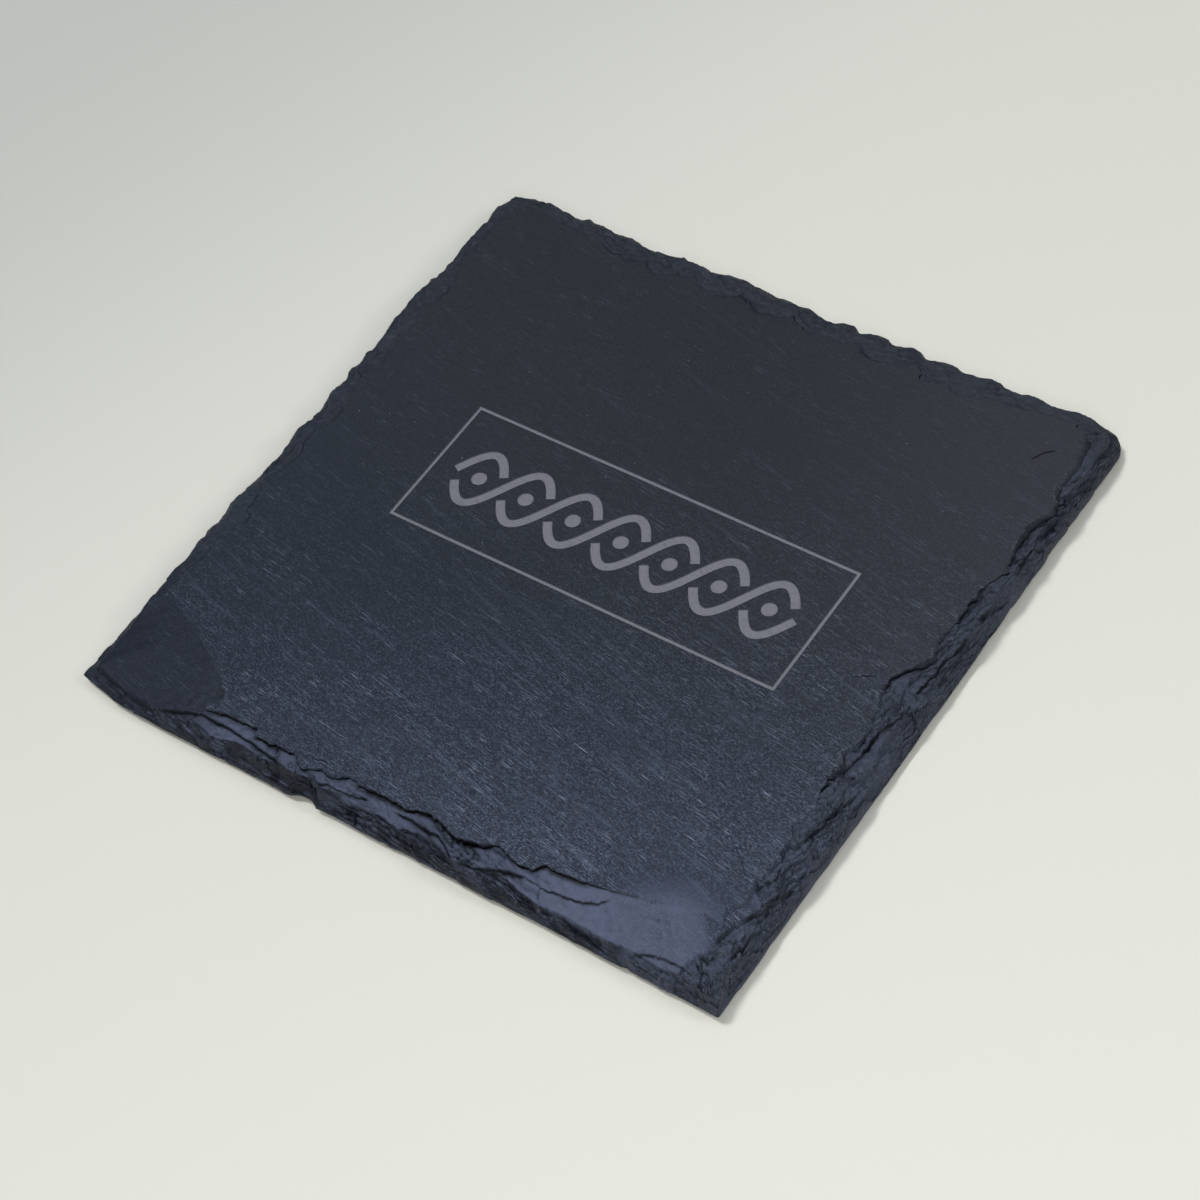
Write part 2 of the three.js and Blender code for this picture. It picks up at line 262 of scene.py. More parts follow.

# Large flakes: place on the outline, reach to either side, and what they do there: set back the top
# lamina (skin) and the terraces, thin the lamina's step, calm the chipping, lower (dip) and tilt the ledge,
# soften the lamina's edge, brighten the ledge with its fresh colour and painted sheen (tone), shatter it, ease the
# wall's steepness.
flakes = (
    {"place": 0, "reach": 22, "thinning": 0.25, "calm": 1.2, "dip": 0.9, "tilt": 0.5, "soft": 0.8, "tone": -1.8},
    {"place": 24, "reach": 9, "skin": 0.9, "thinning": -0.25, "calm": 0.4},
    {"place": 34, "reach": 7, "shatter": 0.6},
    {"place": 43, "reach": 27, "ease": 0.9},
    {"place": 51, "reach": 9, "skin": 1.9, "thinning": -0.3, "calm": 0.4},
    {"place": 60, "reach": 5, "shatter": 0.8},
    {"place": 63, "reach": 6, "terraces": -0.8},
    {"place": 84, "reach": 15, "terraces": -0.6, "thinning": -0.1, "calm": 0.9, "tone": 0.4},
    {"place": 95, "reach": 11, "thinning": 0.47, "soft": 1.3},
    {"place": 108, "reach": 7, "soft": 1.0},
    {"place": 145, "reach": 12, "skin": 0.6},
    {"place": 174, "reach": 26, "terraces": -2.2},
    {"place": 187, "reach": 16, "soft": 0.7},
    {"place": 194, "reach": 9, "calm": 0.6, "soft": 0.4},
)

# Scoops out of the bevel: shallow bowls, as many as this on each edge, with these ranges of half length,
# half width and depth, clear of the corners, and at these shares of the bevel's width.
scoops = {
    "counts": (5, 26, 18, 18),
    "along": (1.5, 5.0),
    "across": (0.8, 2.2),
    "depth": (0.15, 0.7),
    "clear": 3,
    "inward": (0.5, 0.95),
    "seed": 61,
}

# The top lamina is lost within a circle, the scar at the front left corner, and in a long wedge along the
# front edge, given by its width at the right corner and its slope.
scar = {"beyond": (4.9, 21.8), "radius": 37.8}
wedge = {"width": 9.7, "slope": 0.174}

# The edge of the top lamina along the front: places on the outline and insets it passes through.
frontEdge = (
    (18.0, 3.2), (21.0, 3.8), (25.0, 3.5), (28.0, 3.1), (31.0, 2.6), (33.0, 2.2), (36.0, 1.5), (38.5, 2.8),
    (43.0, 3.2), (47.5, 3.7), (51.0, 3.3), (53.5, 3.6), (57.0, 4.4), (58.8, 3.9), (60.6, 3.1), (62.7, 3.3),
    (65.0, 3.8), (67.0, 4.5), (69.0, 4.0), (71.0, 3.6), (72.6, 4.0), (75.0, 5.1), (80.0, 5.6), (83.0, 6.1),
)

# Steps across the ledges: how far the outer side falls, the width of the painted shade at its foot, and the places
# and insets that the line passes through.
steps = (
    (0.4, 0.22, (12.5, 1.2), (16.5, 2.4), (19.5, 2.9), (22.5, 3.0), (26.5, 2.7), (31.0, 2.1), (34.0, 1.4), (36.5, 1.1)),
    (0.3, 0.12, (25.0, 1.3), (30.0, 0.9), (33.0, 1.0), (36.5, 1.2)),
    (0.16, 0.16, (38.5, 1.6), (40.5, 2.1), (43.7, 2.5), (47.0, 3.3)),
    (0.3, 0.14, (45.0, 0.9), (46.7, 1.0), (49.0, 1.8), (52.3, 1.4), (55.0, 0.8)),
    (0.35, 0.26, (50.5, 3.0), (53.5, 3.2), (58.3, 2.7), (59.5, 2.2), (62.0, 0.4)),
    (0.4, 0.28, (61.5, 0.8), (66.4, 1.9), (68.1, 2.7), (72.5, 3.4)),
    (0.2, 0.14, (71.5, 3.3), (75.6, 3.1), (78.7, 3.4), (81.8, 3.9), (85.5, 5.7)),
    (0.3, 0.08, (87.0, 0.4), (90.0, 1.5), (92.6, 2.0), (95.0, 2.1), (98.0, 1.8)),
    (0.4, 0.25, (103.5, 1.9), (106.7, 1.6), (108.8, 1.7), (111.5, 1.1)),
    (0.35, 0.2, (111.0, 2.4), (116.0, 1.3), (121.5, 0.8)),
    (0.4, 0.24, (122.5, 3.0), (126.0, 2.4), (128.4, 2.0), (133.0, 1.4)),
    (0.4, 0.22, (132.5, 4.4), (137.0, 3.7), (142.0, 3.2), (146.5, 2.2)),
    (0.35, 0.2, (149.0, 3.0), (155.0, 2.2), (160.5, 1.3)),
    (0.3, 0.2, (162.5, 1.7), (165.8, 1.0), (168.5, 0.4)),
    (0.3, 0.22, (172.0, 1.2), (176.0, 1.3), (178.5, 0.3)),
    (0.3, 0.22, (178.5, 1.5), (181.3, 1.5), (183.5, 0.4)),
    (0.35, 0.26, (184.0, 1.8), (187.0, 1.4), (190.5, 0.4)),
)
stepForm = {
    "waver": ((0.14, 1.7, 170), (0.08, 0.6, 173)),  # height, size and seed
    "swell": (0.6, 1.9, 171),  # of the width of the painted shade at the foot: share, size and seed
    "fade": 1.2,  # length of the ends
    "pull": (0.5, 0.7),  # rows this near are drawn to the line, with this power of their distance
    "slope": 0.12,  # width of the fall
    "footShift": 0.3,  # the painted shade at the foot lies this share of its width outside the line
    "onWall": (0.5, 0.4),  # how much less the fall and the painted shade at the foot show on the wall
}

# Steps round the front right corner: arcs given by centre, radius, fall, and how broken the stone is inside.
# The first one parts the front ledge from the broken right edge, over these places of the outline.
cornerSteps = {
    "walk": (93.5, 112.0),
    "fade": 2,
    "arcs": ((160.3, -77.4, 120.0, 0.4, 0.35), (51.0, -51.5, 5.2, 0.5, 1.0)),
    "waver": (0.5, 2.5, 145),  # height, size and first seed
    "slope": 0.3,
    "onWall": 0.6,  # how much less they fall on the wall
    "foot": 0.2,
    "rough": (0.8, 0.1),  # chipping inside and outside the first arc
    "grainFrom": 0.5,  # past the corner, the stone above the first arc keeps the top face's grain
}

# The lip of the top lamina.
lipForm = {
    "rolling": (1.5, 5.0, 98),  # how much the rolling over varies, size and seed
    "rollFrom": 0.1,  # how far from the corners it starts
    "undercut": (0.75, 6.0, 97),  # mean share, size and seed
    "leastUndercut": 0.1,
    "dark": (0.15, 3),  # how dark the painted shade under a plain step is, and how much more for each millimetre of undercut
    "gape": (0.16, 0.7),  # least width of the painted shade under the lamina, and more where it is undercut
    "lean": (0.05, 0.5),  # of a hard lip, and more of a soft one
    "widths": (0.08, 0.5),  # from the lip to the face and to the cap
    "bald": (1.3, 0.75),  # soft stretches keep some grain: from which softness on, and the least baldness
}

# The lower facet beside that corner is paler: from this place, over this length, with this much less of the
# painted shade at its foot and on its wall.
paleFacet = {"from": 84, "over": 6, "foot": 0.55, "wall": 0.8}

# The front right end of the top face has lost its grain: centre and reach of the bare patch.
bare = {"centre": (40.0, -43.5), "reach": (12.0, 9.0), "share": 0.95, "fade": 1.5, "depth": 0.12}


# A setting of each station's own edge.
def ofEdge(name, edge):
    return np.array(edges[name])[edge]


# A patchy share from 0 to 1: the mean and the gain times the noise.
def patch(name, points, noise=spaceNoise, row=0):
    size, seed, mean, gain = patches[name]
    return unit(mean + gain * noise(points, size, seed + row))


# Stations walk the square's outline anticlockwise from the front left corner.
def outlineStations():
    edge = np.repeat(np.arange(4), edges["stations"])
    share = np.concatenate([np.arange(count) / count for count in edges["stations"]])
    along = 2 * share - 1
    direction = np.array([[1, 0], [0, 1], [-1, 0], [0, -1]])[edge]
    x = half * (direction[:, 0] * along + direction[:, 1])
    y = half * (direction[:, 1] * along - direction[:, 0])
    return {"edge": edge, "share": share, "middle": 1 - along**4, "walk": (edge + share) * side, "x": x, "y": y}


# A corner: where the line from the middle to the station meets the corner's circle, or the straight line that
# joins the ends of a broken corner's legs.
def cornerInset(ring):
    nearest = np.where(ring["share"] < 0.5, ring["edge"], (ring["edge"] + 1) % 4)
    radius = np.array(slate["cornerRadii"])[nearest]
    along = np.abs(2 * ring["share"] - 1) * half
    centre = half - radius
    dot = centre * (along + half)
    square = along**2 + half**2
    root = np.sqrt(np.maximum(0, dot**2 - square * (2 * centre**2 - radius**2)))
    rounded = np.where(along <= centre, 0, half - half * (dot + root) / square)
    legs = np.array(slate["cornerCuts"])[nearest]
    own, other = np.where(ring["share"][:, None] < 0.5, legs, legs[:, ::-1]).T + tiny
    cut = half - half * (half * (own + other) - own * other) / (along * other + half * own)
    return np.maximum(rounded, cut)


# A row of arcs that meet in cusps: the size of a sine whose phase drifts and whose height swells.
def scallopRow(walk, pitch, phase):
    turn = 2 * np.pi * walk / perimeter
    driftAngle, driftWaves = slate["drift"]
    swellShare, swellWaves = slate["swell"]
    drift = driftAngle * np.sin(driftWaves * turn + phase)
    swell = 1 - swellShare + swellShare * np.sin(swellWaves * turn + 2 * phase)
    return swell * np.abs(np.sin(np.round(perimeter / pitch) * turn / 2 + drift + phase))


# The same with the places wavering to and fro along the outline.
def waveringRow(walk, pitch, phase, seed):
    height, size = slate["chipWaver"]
    return scallopRow(walk + height * walkNoise(walk, size, seed), pitch, phase)


# Large flakes: the sum of arches, each highest at its place and ending at its reach.
def flakeReach(walk, effect):
    return sum(
        flake[effect] * arch(outlineGap(walk, flake["place"]) / flake["reach"])
        for flake in flakes
        if effect in flake
    )


# Where the line from the middle to the station enters the scar's circle or crosses the wedge's side.
def breakInset(ring):
    centreX, centreY = (-half - beyond for beyond in scar["beyond"])
    dot = ring["x"] * centreX + ring["y"] * centreY
    square = ring["x"] ** 2 + ring["y"] ** 2
    root = dot**2 - square * (centreX**2 + centreY**2 - scar["radius"] ** 2)
    entry = half - half * (dot - np.sqrt(np.maximum(root, 0))) / square
    scarred = np.where((root > 0) & (dot > 0), entry, 0)
    reach = np.maximum(wedge["slope"] * ring["x"] - ring["y"], tiny)
    return np.maximum(scarred, half - half * (half - wedge["width"] + wedge["slope"] * half) / reach)


# Scoops: ellipsoid bowls over the walk and the inset, the deepest one at each point.
def scoopDepth(walk, inset):
    draw = np.random.default_rng(scoops["seed"])
    deepest = np.zeros_like(inset)
    for edge, count in enumerate(scoops["counts"]):
        along, across, depth = (draw.uniform(*scoops[key], count) for key in ("along", "across", "depth"))
        place = edge * side + draw.uniform(scoops["clear"], side - scoops["clear"], count)
        reach = draw.uniform(*scoops["inward"], count) * edges["bevels"][edge]
        for number in range(count):
            offset = ((walk - place[number]) / along[number]) ** 2
            near = np.flatnonzero(offset < 1)
            square = offset[near] + ((inset[:, near] - reach[number]) / across[number]) ** 2
            bowl = depth[number] * np.sqrt(np.clip(1 - square, 0, None))
            deepest[:, near] = np.maximum(deepest[:, near], bowl)
    return deepest


# Cleavage: a height is drawn to flat layers. Each layer is level over its outer part, then climbs to the
# next; the second result is the share of the layer's width that has been crossed.
def cleave(height):
    thin, thick, count, seed = slate["layers"]
    level, climb = slate["layerClimb"]
    thickness = np.random.default_rng(seed).uniform(thin, thick, count)
    floors = np.concatenate([[0], np.cumsum(thickness)])
    stack = np.floor(height / floors[-1]) * floors[-1]  # the same layers again and again
    layer = np.clip(np.searchsorted(floors, height - stack) - 1, 0, count - 1)
    crossed = unit((height - stack - floors[layer]) / thickness[layer])
    return stack + floors[layer] + thickness[layer] * unit((crossed - level) / climb), crossed


# The rim's base line climbs from the arris over the terraces of the solid to the foot of the top lamina. It is
# given by the insets and heights of six knots at each station.
def baseLine(ring, rough):
    walk, edge, middle = ring["walk"], ring["edge"], ring["middle"]
    pitch, threshold, phase = slate["nicks"]
    nick = np.maximum(0, scallopRow(walk, pitch, phase) - threshold) * middle
    arris = cornerInset(ring) + ofEdge("nickDepths", edge) * nick
    for pitch, depth, seed in slate["fineNicks"]:
        arris = arris + bites(walk, pitch, depth, seed) * ofEdge("nickShares", edge) * np.minimum(1, 3 * middle)
    for place, reach, depth in slate["notches"]:
        arris = arris + depth * arch((walk - place) / reach)
    bevel = slate["cornerBevel"] + (ofEdge("bevels", edge) - slate["cornerBevel"]) * middle
    bevel = bevel + flakeReach(walk, "terraces")

    # where each of the three terraces ends and how high it is
    rise = slateTop - slate["skinThickness"] - arrisLevel
    curve = slate["bevelCurve"] - flakeReach(walk, "ease")
    swellHeight, swellWaves = slate["levelSwell"]
    ends, levels = [arris], [np.full_like(walk, arrisLevel)]
    for terrace, (pitch, depth, seed) in enumerate(slate["terraceChips"], 1):
        phase = slate["chipPhase"] * terrace
        share = terrace / len(slate["terraceChips"])
        chips = rough * depth * (waveringRow(walk, pitch, phase, seed) - slate["chipMean"])
        ends.append(arris + bevel * share**curve + chips)
        swell = rough * swellHeight * np.sin(swellWaves * terrace * 2 * np.pi * walk / perimeter + phase)
        levels.append(arrisLevel + rise * share * (1 - flakeReach(walk, "dip")) + swell)

    # the edge of the top lamina
    thinning = flakeReach(walk, "thinning") + ofEdge("skinThin", edge) * middle
    ledgeLevel = np.minimum(arrisLevel + rise + thinning, slateTop - slate["leastSkin"])
    pitch, depth, threshold, phase, seed = slate["skinChips"]
    setBack = depth * rough * np.maximum(0, waveringRow(walk, pitch, phase, seed) - threshold)
    skin = np.maximum(ends[3] + setBack + flakeReach(walk, "skin"), breakInset(ring))
    place, reach = np.array(frontEdge).T
    skin = np.where((walk > place[0]) & (walk < place[-1]), np.interp(walk, place, reach), skin)
    bitten = slate["calmBites"] + (1 - slate["calmBites"]) * rough
    for pitch, depth, seed in slate["skinBites"]:
        skin = skin + bitten * bites(walk, pitch, depth, seed)

    # the ledge falls from the lamina's foot to its shoulder
    shoulder = ends[2] + slate["shoulder"]
    slope = slate["ledgeSlope"] + flakeReach(walk, "tilt")
    most = slate["steepestFall"] * (ledgeLevel - levels[2])
    ledge = ledgeLevel - most * (1 - np.exp(-slope * np.maximum(skin - shoulder, 0) / most))
    across = np.stack([arris, arris + slate["arrisFoot"], ends[1], ends[2], shoulder, skin])
    across = np.maximum.accumulate(across + slate["leastRun"] * np.arange(len(across))[:, None], axis=0)
    lower = (levels[0] + levels[1]) / 2
    central = np.maximum((levels[1] + levels[2]) / 2, lower)
    upper = np.maximum((levels[2] + ledge) / 2, central)
    return across, np.stack([levels[0], lower, central, upper, np.maximum(ledge, upper), ledgeLevel])


# Rows in even steps of the base line's length.
def evenRows(across, up):
    length = np.hypot(np.diff(across, axis=0), np.diff(up, axis=0)).cumsum(axis=0)
    length = np.concatenate([np.zeros_like(length[:1]), length])
    climbed = np.linspace(0, 1, slate["rows"])[:, None] * length[-1]
    inset, height = across[0], up[0]
    for knot in range(len(across) - 1):
        share = unit((climbed - length[knot]) / np.maximum(length[knot + 1] - length[knot], tiny))
        inset = inset + share * (across[knot + 1] - across[knot])
        height = height + share * (up[knot + 1] - up[knot])
    return inset, height, climbed


# The lines of the steps waver round their points, and the rows draw close to them.
def stepLines(walk, inset):
    lines = []
    near, power = stepForm["pull"]
    swell, size, seed = stepForm["swell"]
    footSwell = 1 + swell * walkNoise(walk, size, seed)
    waver = sum(height * walkNoise(walk, size, seed) for height, size, seed in stepForm["waver"])
    for drop, width, *points in steps:
        place, reach = np.array(points).T
        line = np.interp(walk, place, reach) + waver
        active = unit((walk - place[0]) / stepForm["fade"]) * unit((place[-1] - walk) / stepForm["fade"])
        away = inset - line
        drawn = line + away * (np.abs(away) / near + tiny) ** power
        inset = np.where((np.abs(away) < near) & (active > 0), drawn, inset)
        lines.append((line, active, drop, width * footSwell))
    return inset, lines


# The broken relief of the bevel: lumps, and planes whose borders waver, as far as they lean along the edge.
# The second result marks the cracks between the planes.
def brokenRelief(walk, edge, climbed, spots):
    lumps = sum(depth * spaceNoise(spots, size, seed) for size, depth, seed in slate["lumps"])
    split = np.zeros_like(climbed)
    lean, stretch = ofEdge("facetLean", edge), ofEdge("facetStretch", edge)
    upright = np.sqrt(1 - lean**2)
    waver, waverSize = slate["facetWaver"]
    *waverSeeds, planeSeed, crackSeed = slate["facetSeeds"]
    for row, (size, depth) in enumerate(slate["facets"]):
        shiftU, shiftV = (waver * size * spaceNoise(spots, waverSize * size, seed + row) for seed in waverSeeds)
        u = (walk * upright - climbed * lean) / stretch + shiftU
        v = walk * lean + climbed * upright + shiftV
        planes, border = facetNoise(u, v, size, planeSeed + row)
        lumps = lumps + depth * planes
        if row < slate["splitFacets"]:
            cracked = spaceNoise(spots, 2 * size, crackSeed + row) > 0
            split = np.maximum(split, unit(1 - border / slate["facetSplit"]) * cracked)
    return lumps, split


# The steps round the front right corner: how near it is, the edge whose settings hold at each point, how far
# the stone falls inside the arcs, how loose the ledges are, and the painted shade at the arcs' feet.
def cornerArcs(ring, spots, wall, rough):
    walk = ring["walk"]
    start, end = cornerSteps["walk"]
    nearCorner = unit((walk - start) / cornerSteps["fade"]) * unit((end - walk) / cornerSteps["fade"])
    waver, size, seed = cornerSteps["waver"]
    fall, paintedFootShade = np.zeros_like(wall), np.zeros_like(wall)
    for row, (x, y, radius, drop, shattered) in enumerate(cornerSteps["arcs"]):
        away = np.hypot(spots[..., 0] - x, spots[..., 1] - y) + waver * spaceNoise(spots, size, seed + row) - radius
        if row == 0:  # the arc that parts the two edges
            sideAt = np.where(nearCorner > 0, (away < 0).astype(int), ring["edge"])
            roughAt = np.where(nearCorner > 0, np.where(away < 0, *cornerSteps["rough"]), rough)
            ledgeLoose = ofEdge("loose", sideAt) * roughAt + flakeReach(walk, "shatter")
        inside = unit(0.5 - away / cornerSteps["slope"]) * (1 - cornerSteps["onWall"] * wall) * nearCorner
        ledgeLoose = np.maximum(ledgeLoose, shattered * inside)
        fall = fall + drop * inside
        # painted shade along the foot of each arc
        patchy = nearCorner * patch("cornerLine", spots, row=row)
        paintedFootShade = np.maximum(paintedFootShade, patchy * paintedShadeLine(away, cornerSteps["foot"]))
    return nearCorner, sideAt, fall, ledgeLoose, paintedFootShade


# The rim is a profile carried round the outline. Noise lifts and lowers its base line, the cleavage turns it
# into ragged ledges, bowls are scooped out, and the lamina ends in an undercut lip.
def rimProfile(ring):
    walk, edge, middle = ring["walk"], ring["edge"], ring["middle"]
    calm, flakeSoft = flakeReach(walk, "calm"), flakeReach(walk, "soft")
    rough = unit(1 - calm)
    across, up = baseLine(ring, rough)
    inset, height, climbed = evenRows(across, up)
    inset, lines = stepLines(walk, inset)
    arris, ledgeLevel = across[0], up[5]
    wall = unit((up[4] - height) / slate["wallRise"])
    scale = 1 - inset / half
    spots = np.stack([ring["x"] * scale, ring["y"] * scale, height], axis=-1)

    fallShow, footShow = (1 - share * wall for share in stepForm["onWall"])
    nearCorner, sideAt, fall, ledgeLoose, paintedFootShade = cornerArcs(ring, spots, wall, rough)
    height, paintedFootShade = height - fall, paintedFootShade * footShow

    # the broken relief and the cleavage; only the scar's end of the wall is calm
    leastRough, gain = slate["calmWall"]
    scarEnd, scarStart = slate["scarWalk"]
    wallRough = leastRough + (1 - leastRough) * unit(rough + gain * (walk < scarStart) * (walk > scarEnd))
    loose = wall * ofEdge("wallLoose", edge) * wallRough + (1 - wall) * unit(ledgeLoose)
    loose = loose * unit((inset - arris) / slate["arrisFade"])
    lumps, split = brokenRelief(walk, edge, climbed, spots)
    lifted = height + loose * (lumps - scoopDepth(walk, inset - arris))
    slack = slate["liftSlack"] * loose
    lifted = np.clip(lifted, arrisLevel + slack, ledgeLevel + slack)
    alongShare, inwardShare = slate["layerTurn"]
    waver, size, seed = slate["layerWaver"]
    dip = ofEdge("layerTilt", edge) * (alongShare * walk + inwardShare * inset) + waver * spaceNoise(spots, size, seed)
    layerScale = ofEdge("layerScale", edge)
    layered, crossed = cleave((lifted + dip) / layerScale)
    keeping = loose * ofEdge("layered", edge) * patch("layered", spots)
    footPlace, footWidth, footDepth = slate["layerFoot"]
    facePlace, faceReach = slate["layerFace"]
    foot = bell(crossed, footPlace, footWidth) * keeping
    climbing = unit(1 - np.abs(crossed - facePlace) / faceReach) * keeping
    height = lifted + keeping * (layered * layerScale - dip - lifted) - footDepth * foot

    # how bright, how broken and how dark the stone is; its brightness is partly painted sheen and highlights, its
    # darkness painted shade
    tone = ofEdge("tones", sideAt) * np.maximum(np.minimum(1, 2 * middle), nearCorner)
    tone = unit(tone + flakeReach(walk, "tone") * (sideAt != 1))
    freshest, mostFresh = slate["freshest"]
    # the ledges' pale blue: partly the colour of freshly split stone, partly painted sheen, strongest on the front
    freshAndSheen = tone * np.clip(freshest - wall * ofEdge("wallFade", edge) - climbing, 0, mostFresh)
    dullBreak, brightBreak, faceBreak = slate["breakage"]
    broken = unit((dullBreak - brightBreak * tone) * loose + faceBreak * climbing)
    for line, active, drop, width in lines:
        height = height - active * drop * unit((line - inset) / stepForm["slope"] + 0.5) * fallShow
        # painted shade along the foot of each step
        paintedStepShade = active * paintedShadeLine(inset - line + stepForm["footShift"] * width, width)
        paintedFootShade = np.maximum(paintedFootShade, paintedStepShade * footShow)
    # painted shade in the cracks between the broken planes and in the grooves at the layers' feet
    paintedShade = ofEdge("splits", edge) * split * np.minimum(1, 1.5 * loose)
    paintedShade = np.maximum(paintedShade, foot * patch("foot", spots) * ofEdge("feet", edge))
    onPale = unit((walk - paleFacet["from"]) / paleFacet["over"]) * (edge == 0)
    # painted shade low on the broken face, near the table
    low = unit(1 - (height - arrisLevel) / slate["lowReach"]) * patch("low", spots) * (1 - paleFacet["foot"] * onPale)
    paintedShade = np.maximum(np.maximum(paintedShade, paintedFootShade), low * ofEdge("underShade", edge))
    wallPaintedLight = ofEdge("wallPaintedLight", edge)
    # painted highlights along the layers' edges on the wall
    shine = sum(bell(crossed, place, width) for place, width in slate["layerEdges"])
    shine = np.minimum(shine * patch("shine", spots), 1)
    # painted shadow over the wall below the ledge, broken by the painted highlights on the layers' edges
    shadowed = wall * wallPaintedLight * patch("shadow", spots) * (1 - paleFacet["wall"] * onPale)
    paintedShade = np.maximum(paintedShade, shadowed * (1 - shine))
    bright = shine * wall * np.minimum(1, 1.3 * wallPaintedLight)
    freshAndSheen = np.maximum(freshAndSheen, bright)
    broken = broken * (1 - slate["brightLoss"] * bright)
    backStart, backEnd = slate["backWalk"]
    # the painted shade lines fade out before the back corners
    clearOfCorners = unit((middle - ofEdge("darkCorners", edge)) / slate["cornerFade"])
    clearOfCorners = np.where((walk > backStart) & (walk < backEnd), clearOfCorners, 1)
    paintedShade = paintedShade * clearOfCorners
    rubble = loose * (0.5 + 0.5 * climbing)

    # the lip of the top lamina: rolled over and soft, or a hard undercut step
    change, size, seed = lipForm["rolling"]
    rolled = unit(2 * ofEdge("rolled", edge) - 1 + change * walkNoise(walk, size, seed))
    rolled = rolled * unit((middle - lipForm["rollFrom"]) / slate["cornerFade"])
    soft = unit(flakeSoft + rolled * (ofEdge("rolled", edge) > 0))
    hard = 1 - soft
    undercut = ofEdge("crevices", edge) * hard
    mean, size, seed = lipForm["undercut"]
    deep = undercut * np.clip(mean + walkNoise(walk, size, seed), lipForm["leastUndercut"], 1) * middle
    hardLean, softLean = lipForm["lean"]
    lean = hardLean + softLean * soft
    step = slateTop - height[-1]
    # painted shade under the lamina's lip, deeper where it is undercut
    plainDark, moreDark = lipForm["dark"]
    dark = hard * unit(plainDark + moreDark * deep) * clearOfCorners
    leastGape, moreGape = lipForm["gape"]
    gape = leastGape + moreGape * undercut * patch("gape", walk, walkNoise)
    paintedShade = np.maximum(paintedShade, dark * paintedShadeLine(inset[-1] - inset, gape))
    bald = np.maximum(ofEdge("balds", edge), np.maximum(nearCorner, unit(calm)))
    baldFrom, leastBald = lipForm["bald"]
    bald = np.clip(baldFrom - flakeSoft, leastBald, 1) * bald
    grainy = unit((walk - side - cornerSteps["grainFrom"]) / cornerSteps["fade"]) * nearCorner * (sideAt == 0)
    lip = ofEdge("lips", edge) * patch("lip", walk, walkNoise) * rough
    toFace, toCap = lipForm["widths"]
    rows = [  # inset, height, freshAndSheen, broken, paintedShade, bald, rubble, lip
        (arris + slate["undersideBreak"], slateBottom, 0, 0.4, 0, 0, 0, 0),
        (arris + 0.3 * slate["undersideBreak"], slateBottom + 0.35 * slate["arrisHeight"], 0, 1, 0, 0, 0.4, 0),
        *zip(inset, height, freshAndSheen, broken, paintedShade, bald * (1 - grainy), rubble, 0 * inset),
        (inset[-1] + deep, height[-1] + 0.02, 0, 0, dark, bald * (1 - grainy[-1]), 0, 0),
        (inset[-1] + 0.01, height[-1] + 0.6 * step * hard, 0, hard, dark, 0.5, 0.3, 0.5 * lip),
        (inset[-1] + lean, slateTop - 0.02, 0, 0.3 * hard, 0, 0, 0.25, lip),
        (inset[-1] + lean + toFace, slateTop, 0, 0, 0, 0, 0, lip),
        (inset[-1] + lean + toCap, slateTop, 0, 0, 0, 0, 0, 0),
    ]
    columns = ([np.broadcast_to(part, walk.shape) for part in row] for row in rows)
    return np.array(list(columns)).transpose(1, 0, 2)


# The natural split face is not quite flat: two sizes of noise.
def splitRelief(points):
    flat = points * [1, 1, 0]
    return sum(height * spaceNoise(flat, size, seed) for height, size, seed in slate["relief"])


# engraved mark: a two-strand twist with a dot in each eye, inside a plain line border

mark = {
    "depth": 0.15,
    "shift": (2.1, 1.3),  # from the slate's middle to the mark's
    "eyes": 7,
    "eyeLength": 7.6,
    "swing": 4.4,
    "width": 1.3,
    "gap": 0.6,
    "stepsPerEye": 26,
    "dot": 2.2,
    "dotSides": 40,
    "borderLine": 0.5,
    "borderClear": (3.0, 5.0),
    "borderSteps": 24,  # points on each side
}


# A strand is a sine along the band, widened by half its width along the normal.
def strandOutline(turnSide, start, end):
    pieces = int(math.ceil((end - start) / mark["eyeLength"] * mark["stepsPerEye"]))
    along = np.linspace(start, end, pieces + 1)
    angle = np.pi * along / mark["eyeLength"]
    slope = turnSide * mark["swing"] * np.pi / mark["eyeLength"] * np.cos(angle)
    normal = np.stack([-slope, np.ones_like(slope)], axis=1)
    normal *= mark["width"] / 2 / np.linalg.norm(normal, axis=1)[:, None]
    line = np.stack([along - mark["eyes"] * mark["eyeLength"] / 2, turnSide * mark["swing"] * np.sin(angle)], axis=1)
    return np.concatenate([line - normal, (line + normal)[::-1]])


# The strands cross at each end of an eye, and the lower one stops short on both sides of the upper one.
def markOutlines():
    eyeLength = mark["eyeLength"]
    lean = math.atan(math.pi * mark["swing"] / eyeLength)
    reach = mark["width"] / 2 * (1 + abs(math.cos(2 * lean))) + mark["gap"]
    stop = reach / math.sin(2 * lean) * math.cos(lean)
    outlines = []
    for turnSide in (1, -1):
        start = 0 if turnSide > 0 else stop
        for crossing in range(1, mark["eyes"] + 1):
            under = (crossing % 2 == 1) == (turnSide > 0)
            if not under and crossing < mark["eyes"]:
                continue
            outlines.append(strandOutline(turnSide, start, crossing * eyeLength - (stop if under else 0)))
            start = crossing * eyeLength + stop
    angle = 2 * np.pi * np.arange(mark["dotSides"]) / mark["dotSides"]
    circle = mark["dot"] / 2 * np.stack([np.cos(angle), np.sin(angle)], axis=1)
    for eye in range(mark["eyes"]):
        outlines.append(circle + [(eye + 0.5 - mark["eyes"] / 2) * eyeLength, 0])
    return outlines


